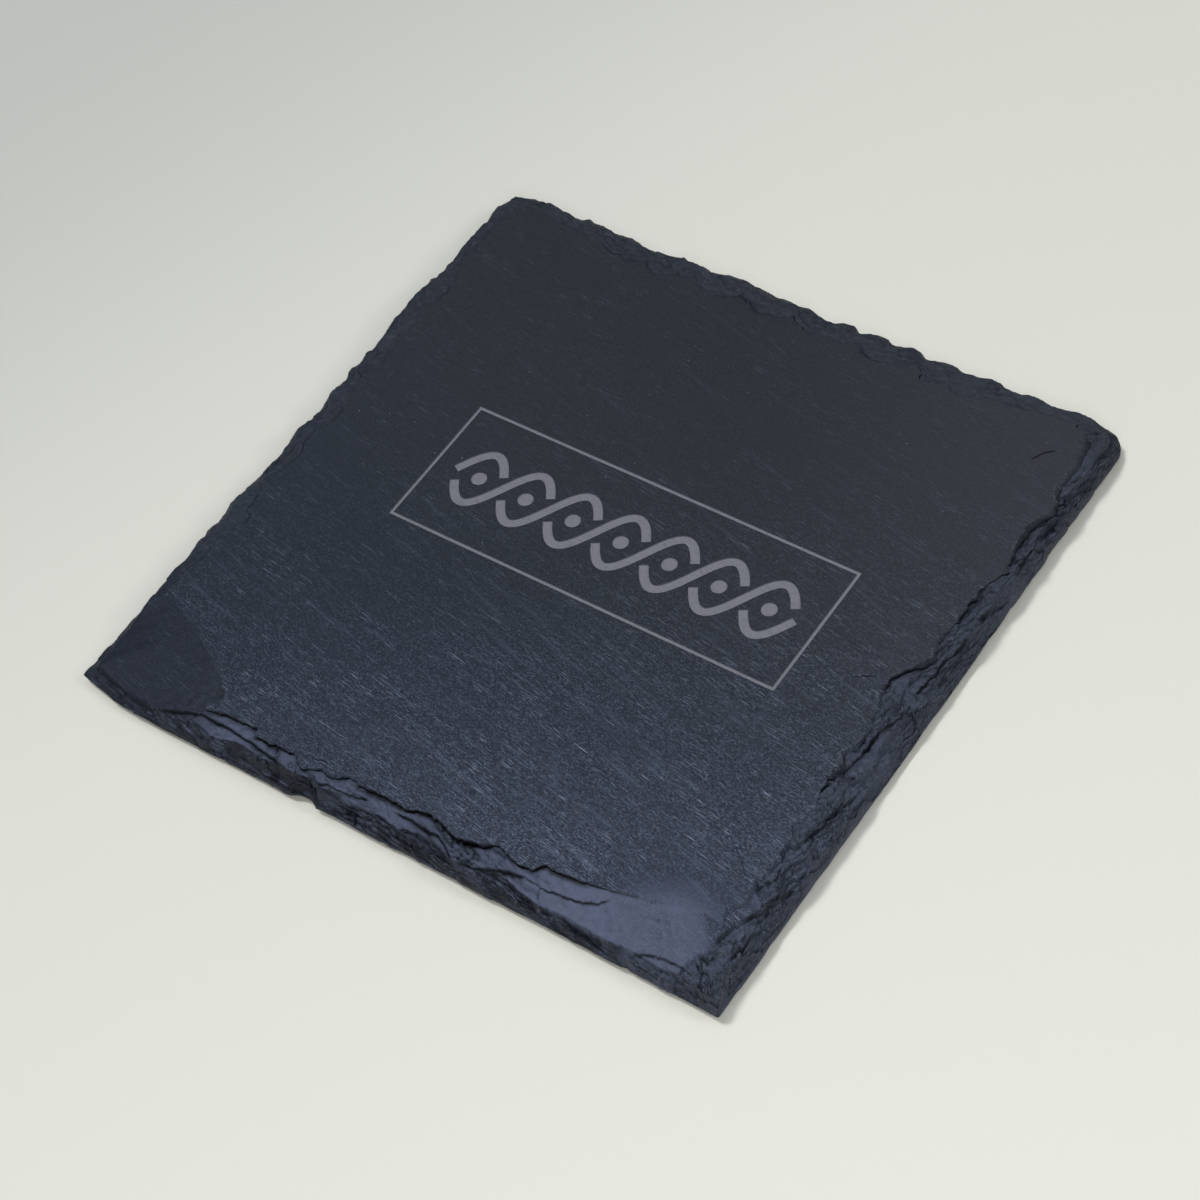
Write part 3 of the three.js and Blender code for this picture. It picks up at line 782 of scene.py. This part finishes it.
# The border is a rectangle with even points on its sides, once for each side of its line.
def borderOutlines():
    clearX, clearY = mark["borderClear"]
    inner = np.array([mark["eyes"] * mark["eyeLength"] / 2 + clearX, mark["swing"] + mark["width"] / 2 + clearY])
    corners = np.array([[-1, -1], [1, -1], [1, 1], [-1, 1]])
    sides = zip(corners, np.roll(corners, -1, axis=0))
    path = np.concatenate([np.linspace(*ends, mark["borderSteps"], endpoint=False) for ends in sides])
    return path * (inner + mark["borderLine"]), path * inner


# cracks: thin lenses cut into the top face, from and to these places along the outline, and this far inside
# the edge of the top face

cracks = (
    {"walk": (111.6, 111.2), "inside": (6.8, 0.9), "width": 0.16, "bend": 0.35},
    {"walk": (195.9, 197.0), "inside": (4.5, 2.2), "width": 0.44, "bend": 0.12},
    {"walk": (35.6, 39.0), "inside": (0.9, 0.7), "width": 0.2, "bend": 0.1},
    {"walk": (146.8, 148.8), "inside": (3.6, 1.2), "width": 0.18, "bend": -0.15},
)
crackForm = {"depth": 0.22, "points": 15, "wobble": 0.06, "wobbleAngle": 9, "wobblePhase": 20}


# A lens on a bent line: the width swells as a sine from one tip to the other.
def crackOutline(crack, ring, edgeInset):
    tips = [np.interp(crack["walk"], ring["walk"], ring[axis]) for axis in ("x", "y")]
    inset = np.interp(crack["walk"], ring["walk"], edgeInset) + np.array(crack["inside"])
    start, end = (np.stack(tips) * (1 - inset / half)).T
    share = np.linspace(0, 1, crackForm["points"])[:, None]
    line = end - start
    across = np.array([-line[1], line[0]]) / np.linalg.norm(line)
    swell = np.sin(np.pi * share)
    angle = crackForm["wobbleAngle"] * share + crackForm["wobblePhase"] * crack["bend"]
    bent = start + share * line + across * swell * (crack["bend"] + crackForm["wobble"] * np.sin(angle))
    edge = across * swell * crack["width"] / 2
    return np.concatenate([(bent - edge)[:-1], (bent + edge)[:0:-1]])


cap = {"top": (1.7, 71), "bottom": (3.0, 72), "scatter": 0.3, "clear": 0.8, "tolerance": 1e-7}  # spacing and seed


# A cap: triangles between the rim's ring, the cut outlines and a loose grid of points inside the ring.
def capTriangles(ringPoints, outlines, spacing, seed):
    draw = np.random.default_rng(seed)
    lines = np.arange(-half, half, spacing)
    grid = np.stack(np.meshgrid(lines, lines), axis=-1).reshape(-1, 2)
    grid = grid + draw.uniform(-cap["scatter"], cap["scatter"], grid.shape) * spacing
    angle = np.arctan2(ringPoints[:, 1], ringPoints[:, 0])
    order = np.argsort(angle)
    radius = np.linalg.norm(ringPoints, axis=1)
    limit = np.interp(np.arctan2(grid[:, 1], grid[:, 0]), angle[order], radius[order], period=2 * np.pi)
    grid = grid[np.linalg.norm(grid, axis=1) < limit - cap["clear"]]
    points = np.concatenate([ringPoints, *outlines, grid])
    loops, first = [], 0
    for loop in (ringPoints, *outlines):
        loops.append(np.arange(first, first + len(loop)))
        first += len(loop)
    corners, faces = [Vector(point) for point in points], [loop.tolist() for loop in loops]
    result = delaunay_2d_cdt(corners, [], faces, 1, cap["tolerance"])
    if len(result[0]) != len(points):
        raise RuntimeError("the cap's outlines cross each other")
    home = np.array([ids[0] for ids in result[3]])
    return points, home[np.array(result[2])], loops, [set(ids) for ids in result[5]]


def meshPiece(name, points, quads, triangles):
    mesh = bpy.data.meshes.new(name)
    mesh.vertices.add(len(points))
    mesh.vertices.foreach_set("co", (points * mm).astype(np.float32).ravel())
    mesh.loops.add(quads.size + triangles.size)
    mesh.loops.foreach_set("vertex_index", np.concatenate([quads.ravel(), triangles.ravel()]).astype(np.int32))
    starts = np.concatenate([np.arange(len(quads)) * 4, quads.size + np.arange(len(triangles)) * 3])
    mesh.polygons.add(len(starts))
    mesh.polygons.foreach_set("loop_start", starts.astype(np.int32))
    mesh.update(calc_edges=True)
    piece = bpy.data.objects.new(name, mesh)
    bpy.context.scene.collection.objects.link(piece)
    return piece


# Quads between rows of points that close into rings.
def ringQuads(rowCount, count):
    place = np.arange(count)
    onward = (place + 1) % count
    below = np.arange(rowCount - 1)[:, None] * count
    quads = [below + place, below + onward, below + count + onward, below + count + place]
    return np.stack(quads, axis=-1).reshape(-1, 4)


def shade(piece, angle):
    mesh = piece.data
    mesh.polygons.foreach_set("use_smooth", np.ones(len(mesh.polygons), dtype=bool))
    mesh.set_sharp_from_angle(angle=math.radians(angle))


# How bare of grain the top face is: an arch over an ellipse, nothing outside it or below the face.
def bareShare(points):
    offset = (points[:, :2] - np.array(bare["centre"])) / np.array(bare["reach"])
    share = bare["share"] * unit(1 - (offset**2).sum(axis=1)) ** bare["fade"]
    return share * (points[:, 2] > slateTop - bare["depth"])


def slatePiece():
    ring = outlineStations()
    inset, height, freshAndSheen, broken, paintedShade, bald, rubble, lip = rimProfile(ring)
    rowCount, count = inset.shape
    scale = 1 - inset / half
    rim = np.stack([ring["x"] * scale, ring["y"] * scale, height], axis=-1)
    still = rim.copy()
    for size, depth, seed in slate["rubble"]:
        for axis, share in enumerate(slate["rubbleShares"]):
            lump = 2 * np.abs(spaceNoise(still, size, seed + axis)) - slate["rubbleMean"]
            rim[..., axis] += rubble * share * depth * lump
    rim[-2:, :, 2] += splitRelief(rim[-2:])
    quads = [ringQuads(rowCount, count)]
    quadPale = [np.zeros(len(quads[0]), bool)]
    place = np.arange(count)
    total = rowCount * count

    # the top cap, with the engraved and cracked parts sunk below it
    cuts = [outline + np.array(mark["shift"]) for outline in (*borderOutlines(), *markOutlines())]
    cuts += [crackOutline(crack, ring, inset[-1]) for crack in cracks]
    flat, faces, loops, within = capTriangles(rim[-1, :, :2], cuts, *cap["top"])
    ringLoop, outerLine, innerLine, firstMark = range(4)
    firstCrack = len(loops) - len(cracks)
    inMark = [not ids.isdisjoint(range(firstMark, len(loops))) for ids in within]
    inBorder = [outerLine in ids and innerLine not in ids for ids in within]
    sunk = np.array(inMark) | np.array(inBorder)
    dark = np.array([not ids.isdisjoint(range(firstCrack, len(loops))) for ids in within])
    upper = np.column_stack([flat, np.full(len(flat), slateTop)])
    upper[:, 2] += splitRelief(upper)
    lower = upper.copy()
    lower[:, 2] -= mark["depth"]
    lower[np.concatenate(loops[firstCrack:]), 2] -= crackForm["depth"] - mark["depth"]
    # cap points take the rim's last ring where they lie on it, and the sunken copies follow after them
    topIndex = np.concatenate([(rowCount - 1) * count + place, total + np.arange(len(flat) - count)])
    sunkIndex = total + len(flat) - count + np.arange(len(flat))
    total += 2 * len(flat) - count
    triangles = [topIndex[faces[~sunk]], sunkIndex[faces[sunk]]]
    pale = [np.zeros((~sunk).sum(), bool), ~dark[sunk]]
    for number, loop in enumerate(loops[ringLoop + 1 :], outerLine):
        if number == innerLine:
            loop = loop[::-1]  # the border's inner line has its groove outside
        after = np.roll(loop, -1)
        quads.append(np.stack([topIndex[loop], topIndex[after], sunkIndex[after], sunkIndex[loop]], axis=-1))
        quadPale.append(np.full(len(loop), number < firstCrack))

    flat, faces, *_ = capTriangles(rim[0, :, :2], [], *cap["bottom"])
    under = np.column_stack([flat, np.full(len(flat), slateBottom)])
    bottomIndex = np.concatenate([place, total + np.arange(len(flat) - count)])
    triangles.append(bottomIndex[faces][:, ::-1])
    pale.append(np.zeros(len(faces), bool))

    # points no face uses are dropped
    points = np.concatenate([rim.reshape(-1, 3), upper[count:], lower, under[count:]])
    quads, triangles = np.concatenate(quads), np.concatenate(triangles)
    used = np.zeros(len(points), bool)
    used[quads] = True
    used[triangles] = True
    renumber = np.cumsum(used) - 1
    piece = meshPiece("slate", points[used], renumber[quads], renumber[triangles])
    piece.data.polygons.foreach_set("material_index", np.concatenate([*quadPale, *pale]).astype(np.int32))
    rest = np.zeros(len(points) - rowCount * count)
    bareTop = bareShare(points)
    for name, values, least in (
        ("freshAndSheen", freshAndSheen, bareTop),
        ("broken", broken, 0),
        ("paintedShade", paintedShade, 0),
        ("bald", bald, bareTop),
        ("lip", lip, 0),
    ):
        values = np.maximum(np.concatenate([values.ravel(), rest]), least)[used]
        piece.data.attributes.new(name, "FLOAT", "POINT").data.foreach_set("value", values.astype(np.float32))
    print("slate:", used.sum(), "points,", len(piece.data.polygons), "faces")
    return piece


# materials

def newMaterial(name):
    material = bpy.data.materials.new(name)
    material.use_nodes = True
    tree = material.node_tree
    return material, tree, tree.nodes["Principled BSDF"]


# A socket takes a link from another node, or a plain number or colour.
def feed(tree, socket, value):
    if isinstance(value, bpy.types.NodeSocket):
        tree.links.new(value, socket)
    else:
        socket.default_value = (*value, 1) if socket.type == "RGBA" else value


# A node's settings come first by name, and any other name is one of its sockets.
def node(tree, kind, **settings):
    made = tree.nodes.new(kind)
    for key, value in settings.items():
        if hasattr(made, key):
            setattr(made, key, value)
        else:
            feed(tree, made.inputs[key.replace("_", " ")], value)
    return made


# The shader's own sockets by name.
def setShader(tree, shader, **values):
    for key, value in values.items():
        feed(tree, shader.inputs[key.replace("_", " ")], value)


# Object coordinates stretched by a grain: its direction in degrees, and its size along, across and up.
def grainOf(tree, direction, size):
    where = tree.nodes.new("ShaderNodeTexCoord").outputs["Object"]
    turn = (0, 0, math.radians(direction))
    scale = [length * mm for length in size]
    mapping = node(tree, "ShaderNodeMapping", vector_type="TEXTURE", Vector=where, Rotation=turn, Scale=scale)
    return mapping.outputs["Vector"]


def noiseOf(tree, direction, size, detail=2.0, roughness=0.5):
    vector = grainOf(tree, direction, size)
    made = node(tree, "ShaderNodeTexNoise", Vector=vector, Scale=1.0, Detail=detail, Roughness=roughness)
    return made.outputs["Fac"]


def rampOf(tree, value, low, high, start=0.0, end=1.0):
    made = node(tree, "ShaderNodeMapRange", interpolation_type="SMOOTHSTEP", Value=value)
    for name, number in (("From Min", low), ("From Max", high), ("To Min", start), ("To Max", end)):
        made.inputs[name].default_value = number
    return made.outputs["Result"]


def mixOf(tree, factor, first, second):
    made = node(tree, "ShaderNodeMix", data_type="RGBA")
    sockets = {socket.identifier: socket for socket in made.inputs}
    for name, value in (("Factor_Float", factor), ("A_Color", first), ("B_Color", second)):
        feed(tree, sockets[name], value)
    return next(socket for socket in made.outputs if socket.identifier == "Result_Color")


def mathOf(tree, operation, first, second):
    made = node(tree, "ShaderNodeMath", operation=operation)
    feed(tree, made.inputs[0], first)
    feed(tree, made.inputs[1], second)
    return made.outputs["Value"]


# A share that grows in one direction over the piece, between two places in millimetres.
def growthOf(tree, direction, growth):
    along = node(tree, "ShaderNodeSeparateXYZ", Vector=grainOf(tree, direction, (1, 1, 1)))
    return rampOf(tree, along.outputs["X"], *growth)


def bumpOf(tree, height, strength, distance, **under):
    made = node(tree, "ShaderNodeBump", Height=height, Strength=strength, Distance=distance * mm, **under)
    return made.outputs["Normal"]


splitStone = {
    "deep": (0.018, 0.020, 0.026),
    "deepPale": (0.029, 0.0315, 0.039),
    "deepBlue": (0.0130, 0.0178, 0.0295),
    "base": (0.041, 0.050, 0.079),
    "gap": (0.005, 0.007, 0.014),
    "streak": (0.185, 0.229, 0.345),
    "streakDim": (0.075, 0.095, 0.148),
    "line": (0.380, 0.445, 0.590),
    "lineDim": (0.180, 0.210, 0.290),
    "speck": (0.30, 0.31, 0.32),
    "flake": (0.086, 0.101, 0.166),
    "scar": (0.0040, 0.0070, 0.0175),
    "broken": (0.043, 0.051, 0.067),
    "brokenDark": (0.013, 0.016, 0.022),
    "brokenPale": (0.110, 0.130, 0.175),
    # near black, for painted shade
    "paintedShadeColour": (0.003, 0.004, 0.006),
    "scuff": (0.15, 0.17, 0.19),
    "grainDirection": -10,
    "noises": {  # turn from the grain's direction, size along, across and up, detail, roughness
        "patches": (0, (16, 7, 7), 3.0, 0.6),
        "streaks": (0, (0.36, 0.15, 0.3), 2.0, 0.6),
        "dashes": (0, (2.8, 0.17, 0.5), 2.0, 0.6),
        "lines": (-4, (12.0, 0.9, 0.8), 2.0, 0.6),
        "grain": (0, (0.4, 0.16, 0.3), 2.0, 0.6),
        "specks": (0, (0.45, 0.28, 0.3), 1.0, 0.5),
        "crumbs": (10, (1.0, 1.0, 0.5), 5.0, 0.75),
        "bands": (0, (9, 1.6, 2), 2.0, 0.5),
        "scuffs": (45, (0.5, 0.3, 0.4), 3.0, 0.7),
    },
    "chips": (35, (0.6, 0.4, 0.28)),  # turn and size of the small facets
    # directions and places, between which the dark stone grows paler, and bluer towards the front left as painted sheen
    "pale": (25, (10.0, 60.0)),
    "blueSheen": (-115, (-10.0, 30.0)),
    # and the whole stone brighter towards the front right as painted sheen, and its grain clearer, from and to these
    # shares
    "bright": (-65, (-2.0, 74.0)),
    "clear": (-68, (-22.0, 32.0, 0.25, 1.0)),
    "roughness": (0.48, 0.64),
    "specular": 0.22,
    "tint": (0.80, 0.88, 1.0),
}


def splitSlate():
    look = splitStone
    material, tree, shader = newMaterial("split_slate")
    names = ("freshAndSheen", "broken", "paintedShade", "bald", "lip")
    attributes = (node(tree, "ShaderNodeAttribute", attribute_name=name) for name in names)
    freshAndSheen, broken, paintedShade, bald, lip = (attribute.outputs["Fac"] for attribute in attributes)
    noises = {
        name: noiseOf(tree, look["grainDirection"] + turn, size, detail, roughness)
        for name, (turn, size, detail, roughness) in look["noises"].items()
    }
    streaks, grain, crumbs = noises["streaks"], noises["grain"], noises["crumbs"]
    turn, size = look["chips"]
    chips = grainOf(tree, look["grainDirection"] + turn, size)
    chips = node(tree, "ShaderNodeTexVoronoi", Vector=chips, Scale=1.0, Randomness=1.0)
    chip = node(tree, "ShaderNodeSeparateXYZ", Vector=chips.outputs["Color"]).outputs

    # slow changes over the face: paleness, painted sheen that makes it bluer and brighter, and grain
    deep = mixOf(tree, growthOf(tree, *look["pale"]), look["deep"], look["deepPale"])
    deep = mixOf(tree, growthOf(tree, *look["blueSheen"]), deep, look["deepBlue"])
    bright = growthOf(tree, *look["bright"])
    clear = growthOf(tree, *look["clear"])
    weathered = mixOf(tree, bright, deep, look["base"])
    # the grain's streaks and lines brighten with the same painted sheen
    streak = mixOf(tree, bright, look["streakDim"], look["streak"])
    line = mixOf(tree, bright, look["lineDim"], look["line"])

    # grain of the weathered face: a noise, where its ramp starts and ends, how much it then covers, in which patches
    cloud = mathOf(tree, "MULTIPLY", rampOf(tree, noises["patches"], 0.25, 0.75, 0.6, 1.05), clear)
    clusters = mathOf(tree, "MULTIPLY", rampOf(tree, noises["bands"], 0.4, 0.65, 0.15, 1.0), cloud)
    for noise, low, high, cover, where, colour in (
        (grain, 0.54, 0.40, 0.75, cloud, look["gap"]),
        (streaks, 0.48, 0.72, 0.7, cloud, streak),
        (noises["dashes"], 0.58, 0.70, 0.75, clusters, line),
        (noises["lines"], 0.55, 0.80, 0.4, cloud, streak),
        (noises["specks"], 0.80, 0.86, 1.0, 1.0, look["speck"]),
        (noises["scuffs"], 0.46, 0.66, 1.0, lip, look["scuff"]),
    ):
        covered = mathOf(tree, "MULTIPLY", rampOf(tree, noise, low, high, 0.0, cover), where)
        weathered = mixOf(tree, covered, weathered, colour)

    # the split ledges, partly painted sheen; the broken faces, with paler chips as painted light; and the painted shade
    # in cracks and undercuts
    # the pale blue of the split ledges: partly fresh stone, partly painted sheen
    flake = mixOf(tree, rampOf(tree, crumbs, 0.40, 0.75, 0.0, 0.55), look["flake"], look["base"])
    flake = mixOf(tree, freshAndSheen, look["scar"], flake)
    # paler chips at random: painted light standing in for the tilt of small facets
    rubble = mixOf(tree, rampOf(tree, chip["X"], 0.5, 1.0, 0.0, 0.5), look["broken"], look["brokenPale"])
    rubble = mixOf(tree, rampOf(tree, crumbs, 0.52, 0.66, 0.0, 0.75), rubble, look["brokenDark"])
    rubble = mixOf(tree, rampOf(tree, streaks, 0.54, 0.68, 0.0, 0.6), rubble, streak)
    colour = mixOf(tree, bald, weathered, flake)
    colour = mixOf(tree, broken, colour, rubble)
    # painted shade: the rim's cracks, feet and undercuts drawn towards near black
    colour = mixOf(tree, paintedShade, colour, look["paintedShadeColour"])

    # relief: a height, where it shows, its strength and its depth
    grainy = mathOf(tree, "MULTIPLY", rampOf(tree, bald, 0.0, 1.0, 1.0, 0.15), clear)
    under = {}
    for height, where, strength, depth in (
        (streaks, grainy, 0.9, 0.16),
        (grain, grainy, 0.8, 0.10),
        (crumbs, broken, 0.9, 0.5),
        (chip["Y"], broken, 0.7, 0.14),
    ):
        under = {"Normal": bumpOf(tree, mathOf(tree, "MULTIPLY", height, where), strength, depth, **under)}
    roughness = rampOf(tree, grain, 0.3, 0.7, *look["roughness"])
    setShader(tree, shader, Base_Color=colour, Roughness=roughness, **under)
    setShader(tree, shader, Specular_IOR_Level=look["specular"], Specular_Tint=look["tint"])
    return material


engraved = {"pale": (0.185, 0.190, 0.225), "dark": (0.075, 0.080, 0.100), "specular": 0.2}


def engravedSlate():
    material, tree, shader = newMaterial("engraved_slate")
    streaks = noiseOf(tree, splitStone["grainDirection"], (0.9, 0.2, 0.5), 3.0, 0.65)
    powder = noiseOf(tree, 0, (0.12, 0.12, 0.12), 2.0, 0.6)
    colour = mixOf(tree, rampOf(tree, streaks, 0.5, 0.78, 0.0, 0.6), engraved["pale"], engraved["dark"])
    colour = mixOf(tree, rampOf(tree, powder, 0.4, 0.8, 0.0, 0.3), colour, engraved["dark"])
    roughness = rampOf(tree, powder, 0.3, 0.7, 0.8, 0.95)
    setShader(tree, shader, Base_Color=colour, Roughness=roughness, Normal=bumpOf(tree, powder, 0.4, 0.05))
    setShader(tree, shader, Specular_IOR_Level=engraved["specular"])
    return material


feltLook = {"dark": (0.012, 0.012, 0.014), "pale": (0.040, 0.040, 0.044), "sheen": 0.15}


def feltMaterial():
    material, tree, shader = newMaterial("pressed_felt")
    fibres = noiseOf(tree, 35, (1.4, 0.10, 0.10), 3.0, 0.7)
    crossing = noiseOf(tree, -50, (1.2, 0.09, 0.10), 3.0, 0.7)
    web = mathOf(tree, "MAXIMUM", fibres, crossing)
    colour = mixOf(tree, rampOf(tree, web, 0.5, 0.75), feltLook["dark"], feltLook["pale"])
    roughness = rampOf(tree, web, 0.4, 0.8, 0.98, 0.88)
    setShader(tree, shader, Base_Color=colour, Roughness=roughness, Normal=bumpOf(tree, web, 0.8, 0.12))
    setShader(tree, shader, Sheen_Weight=feltLook["sheen"])
    return material


filmLook = {"pale": (0.62, 0.57, 0.46), "dull": (0.48, 0.43, 0.33)}


def filmMaterial():
    material, tree, shader = newMaterial("adhesive_film")
    cloud = noiseOf(tree, 0, (2.2, 2.2, 2.2), 3.0, 0.6)
    colour = mixOf(tree, rampOf(tree, cloud, 0.35, 0.7), filmLook["pale"], filmLook["dull"])
    roughness = rampOf(tree, cloud, 0.3, 0.7, 0.35, 0.5)
    setShader(tree, shader, Base_Color=colour, Roughness=roughness, Normal=bumpOf(tree, cloud, 0.2, 0.05))
    return material


# feet

foot = {
    "turns": 96,
    "feltRound": 0.22,
    "filmRound": 0.06,
    "feltSeed": 400,
    "filmSeed": 420,
    "smoothAngle": 40,
    "roundSteps": 6,
    "wobble": (0.05, 1.4),  # height and size
    "flatRings": (0.98, 0.6, 0.3),  # inwards from the rim, as shares of the radius
}


# A disc turned round its own axis: a flat profile with rounded rims, its radius wavering a little.
def discPiece(name, solid, rounding, seed):
    low, high = (np.array(corner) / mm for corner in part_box(solid))
    centre = (low + high) / 2
    radius, thick = (high[0] - low[0]) / 2, high[2] - low[2]
    quarter = np.linspace(0, np.pi / 2, foot["roundSteps"])
    curveOut, curveUp = rounding * (1 - np.sin(quarter)), rounding * (1 - np.cos(quarter))
    rings = radius * np.array(foot["flatRings"])
    inward = np.concatenate([rings, curveOut, curveOut[::-1], rings[::-1]])
    height = np.concatenate([0 * rings, curveUp, thick - curveUp[::-1], 0 * rings + thick])
    angle = 2 * np.pi * np.arange(foot["turns"]) / foot["turns"]
    around = np.stack([np.cos(angle), np.sin(angle)], axis=1)
    wobble, size = foot["wobble"]
    waver = wobble * spaceNoise(np.column_stack([around * radius, 0 * angle]), size, seed)
    reach = (radius - inward)[:, None] - np.abs(waver) * (inward <= rounding)[:, None]
    x = centre[0] + reach * around[:, 0]
    y = centre[1] + reach * around[:, 1]
    grid = np.stack([x, y, np.broadcast_to(low[2] + height[:, None], x.shape)], axis=-1)
    rowCount, count = x.shape
    place = np.arange(count)
    onward = (place + 1) % count
    last = (rowCount - 1) * count
    poles = np.array([[*centre[:2], low[2]], [*centre[:2], high[2]]])
    bottomPole = np.full(count, rowCount * count)
    bottomFan = np.stack([bottomPole, onward, place], axis=-1)
    topFan = np.stack([bottomPole + 1, last + place, last + onward], axis=-1)
    points, fans = np.concatenate([grid.reshape(-1, 3), poles]), np.concatenate([bottomFan, topFan])
    piece = meshPiece(name, points, ringQuads(rowCount, count), fans)
    shade(piece, foot["smoothAngle"])
    return piece


# making the pieces

slatePlate = slatePiece()
slatePlate.data.materials.append(splitSlate())
slatePlate.data.materials.append(engravedSlate())
shade(slatePlate, slate["smoothAngle"])
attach(slatePlate, "root")
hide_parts("slate_plate")

felt, film = feltMaterial(), filmMaterial()
for number, place in enumerate(("front_left", "front_right", "back_right", "back_left")):
    disc = discPiece("felt_" + place, "felt_foot_" + place, foot["feltRound"], foot["feltSeed"] + number)
    disc.data.materials.append(felt)
    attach(disc, "root")
    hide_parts("felt_foot_" + place)
    disc = discPiece("film_" + place, "adhesive_disc_" + place, foot["filmRound"], foot["filmSeed"] + number)
    disc.data.materials.append(film)
    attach(disc, "root")
    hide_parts("adhesive_disc_" + place)
print("feet and films made")


# table, light and camera

table = {
    "size": 4000.0,
    "fields": 8,  # along each side
    "colour": (0.74, 0.745, 0.69),
    "dull": (0.60, 0.61, 0.585),
    "paintedFalloff": (165, (20.0, 150.0)),  # painted shade: the table darkens towards the far left, where less lamp light falls; direction, and from and to these places
    "roughness": 0.6,
    "specular": 0.1,
}


# A flat grid of square fields.
def tableTop():
    reach, fields = table["size"] / 2, table["fields"]
    lines = np.linspace(-reach, reach, fields + 1)
    points = np.stack(np.meshgrid(lines, lines), axis=-1).reshape(-1, 2)
    points = np.column_stack([points, np.zeros(len(points))])
    at = (np.arange(fields)[:, None] * (fields + 1) + np.arange(fields)).ravel()
    quads = np.stack([at, at + 1, at + fields + 2, at + fields + 1], axis=-1)
    piece = meshPiece("table_top", points, quads, np.zeros((0, 3), np.int32))
    material, tree, shader = newMaterial("table_paint")
    # painted shade on the table, darker towards the far left
    colour = mixOf(tree, growthOf(tree, *table["paintedFalloff"]), table["colour"], table["dull"])
    setShader(tree, shader, Base_Color=colour, Roughness=table["roughness"], Specular_IOR_Level=table["specular"])
    piece.data.materials.append(material)


lamps = (
    {"name": "sky_panel", "from": (-560, 640, 1800), "size": 1100, "power": 5.0, "colour": (0.80, 0.90, 1.0)},
    {"name": "front_lamp", "from": (200, -220, 350), "size": 240, "power": 0.72, "colour": (1.0, 0.99, 0.97)},
    {"name": "left_window", "from": (-2280, -480, 5100), "size": 1300, "power": 150.0, "colour": (1.0, 0.99, 0.97)},
    {"name": "right_fill", "from": (700, 250, 560), "size": 260, "power": 1.4, "colour": (1.0, 0.99, 0.97)},
)
ambient = {"colour": (0.98, 0.99, 1.0), "strength": 0.12}


def lightScene():
    for lamp in lamps:
        data = bpy.data.lights.new(lamp["name"], "AREA")
        data.shape = "DISK"
        data.size = lamp["size"] * mm
        data.energy = lamp["power"]
        data.color = lamp["colour"]
        made = bpy.data.objects.new(lamp["name"], data)
        made.location = Vector(lamp["from"]) * mm
        made.rotation_euler = (-made.location).to_track_quat("-Z", "Y").to_euler()
        bpy.context.scene.collection.objects.link(made)
    world = bpy.data.worlds.new("room")
    world.use_nodes = True
    back = world.node_tree.nodes["Background"]
    back.inputs["Color"].default_value = (*ambient["colour"], 1)
    back.inputs["Strength"].default_value = ambient["strength"]
    bpy.context.scene.world = world


view = {
    "target": (3.07, -5.72, 1.36),
    "azimuth": 43.45,
    "elevation": 51.39,
    "distance": 402.06,
    "roll": -11.72,
    "lens": 93.4,
    "sensor": 36,
}


# The camera looks at the target from its azimuth, counted from the front, and its elevation, and rolls a little.
def placeCamera():
    azimuth, elevation, roll = (math.radians(view[name]) for name in ("azimuth", "elevation", "roll"))
    level = math.cos(elevation)
    back = Vector((math.sin(azimuth) * level, -math.cos(azimuth) * level, math.sin(elevation)))
    data = bpy.data.cameras.new("photo_view")
    data.lens = view["lens"]
    data.sensor_width = view["sensor"]
    camera = bpy.data.objects.new("photo_view", data)
    camera.location = (Vector(view["target"]) + back * view["distance"]) * mm
    turn = (-back).to_track_quat("-Z", "Y") @ Quaternion((0, 0, 1), roll)
    camera.rotation_euler = turn.to_euler()
    bpy.context.scene.collection.objects.link(camera)
    bpy.context.scene.camera = camera


tableTop()
lightScene()
placeCamera()
bpy.context.scene.view_settings.view_transform = "Standard"
print("table, light and camera placed")
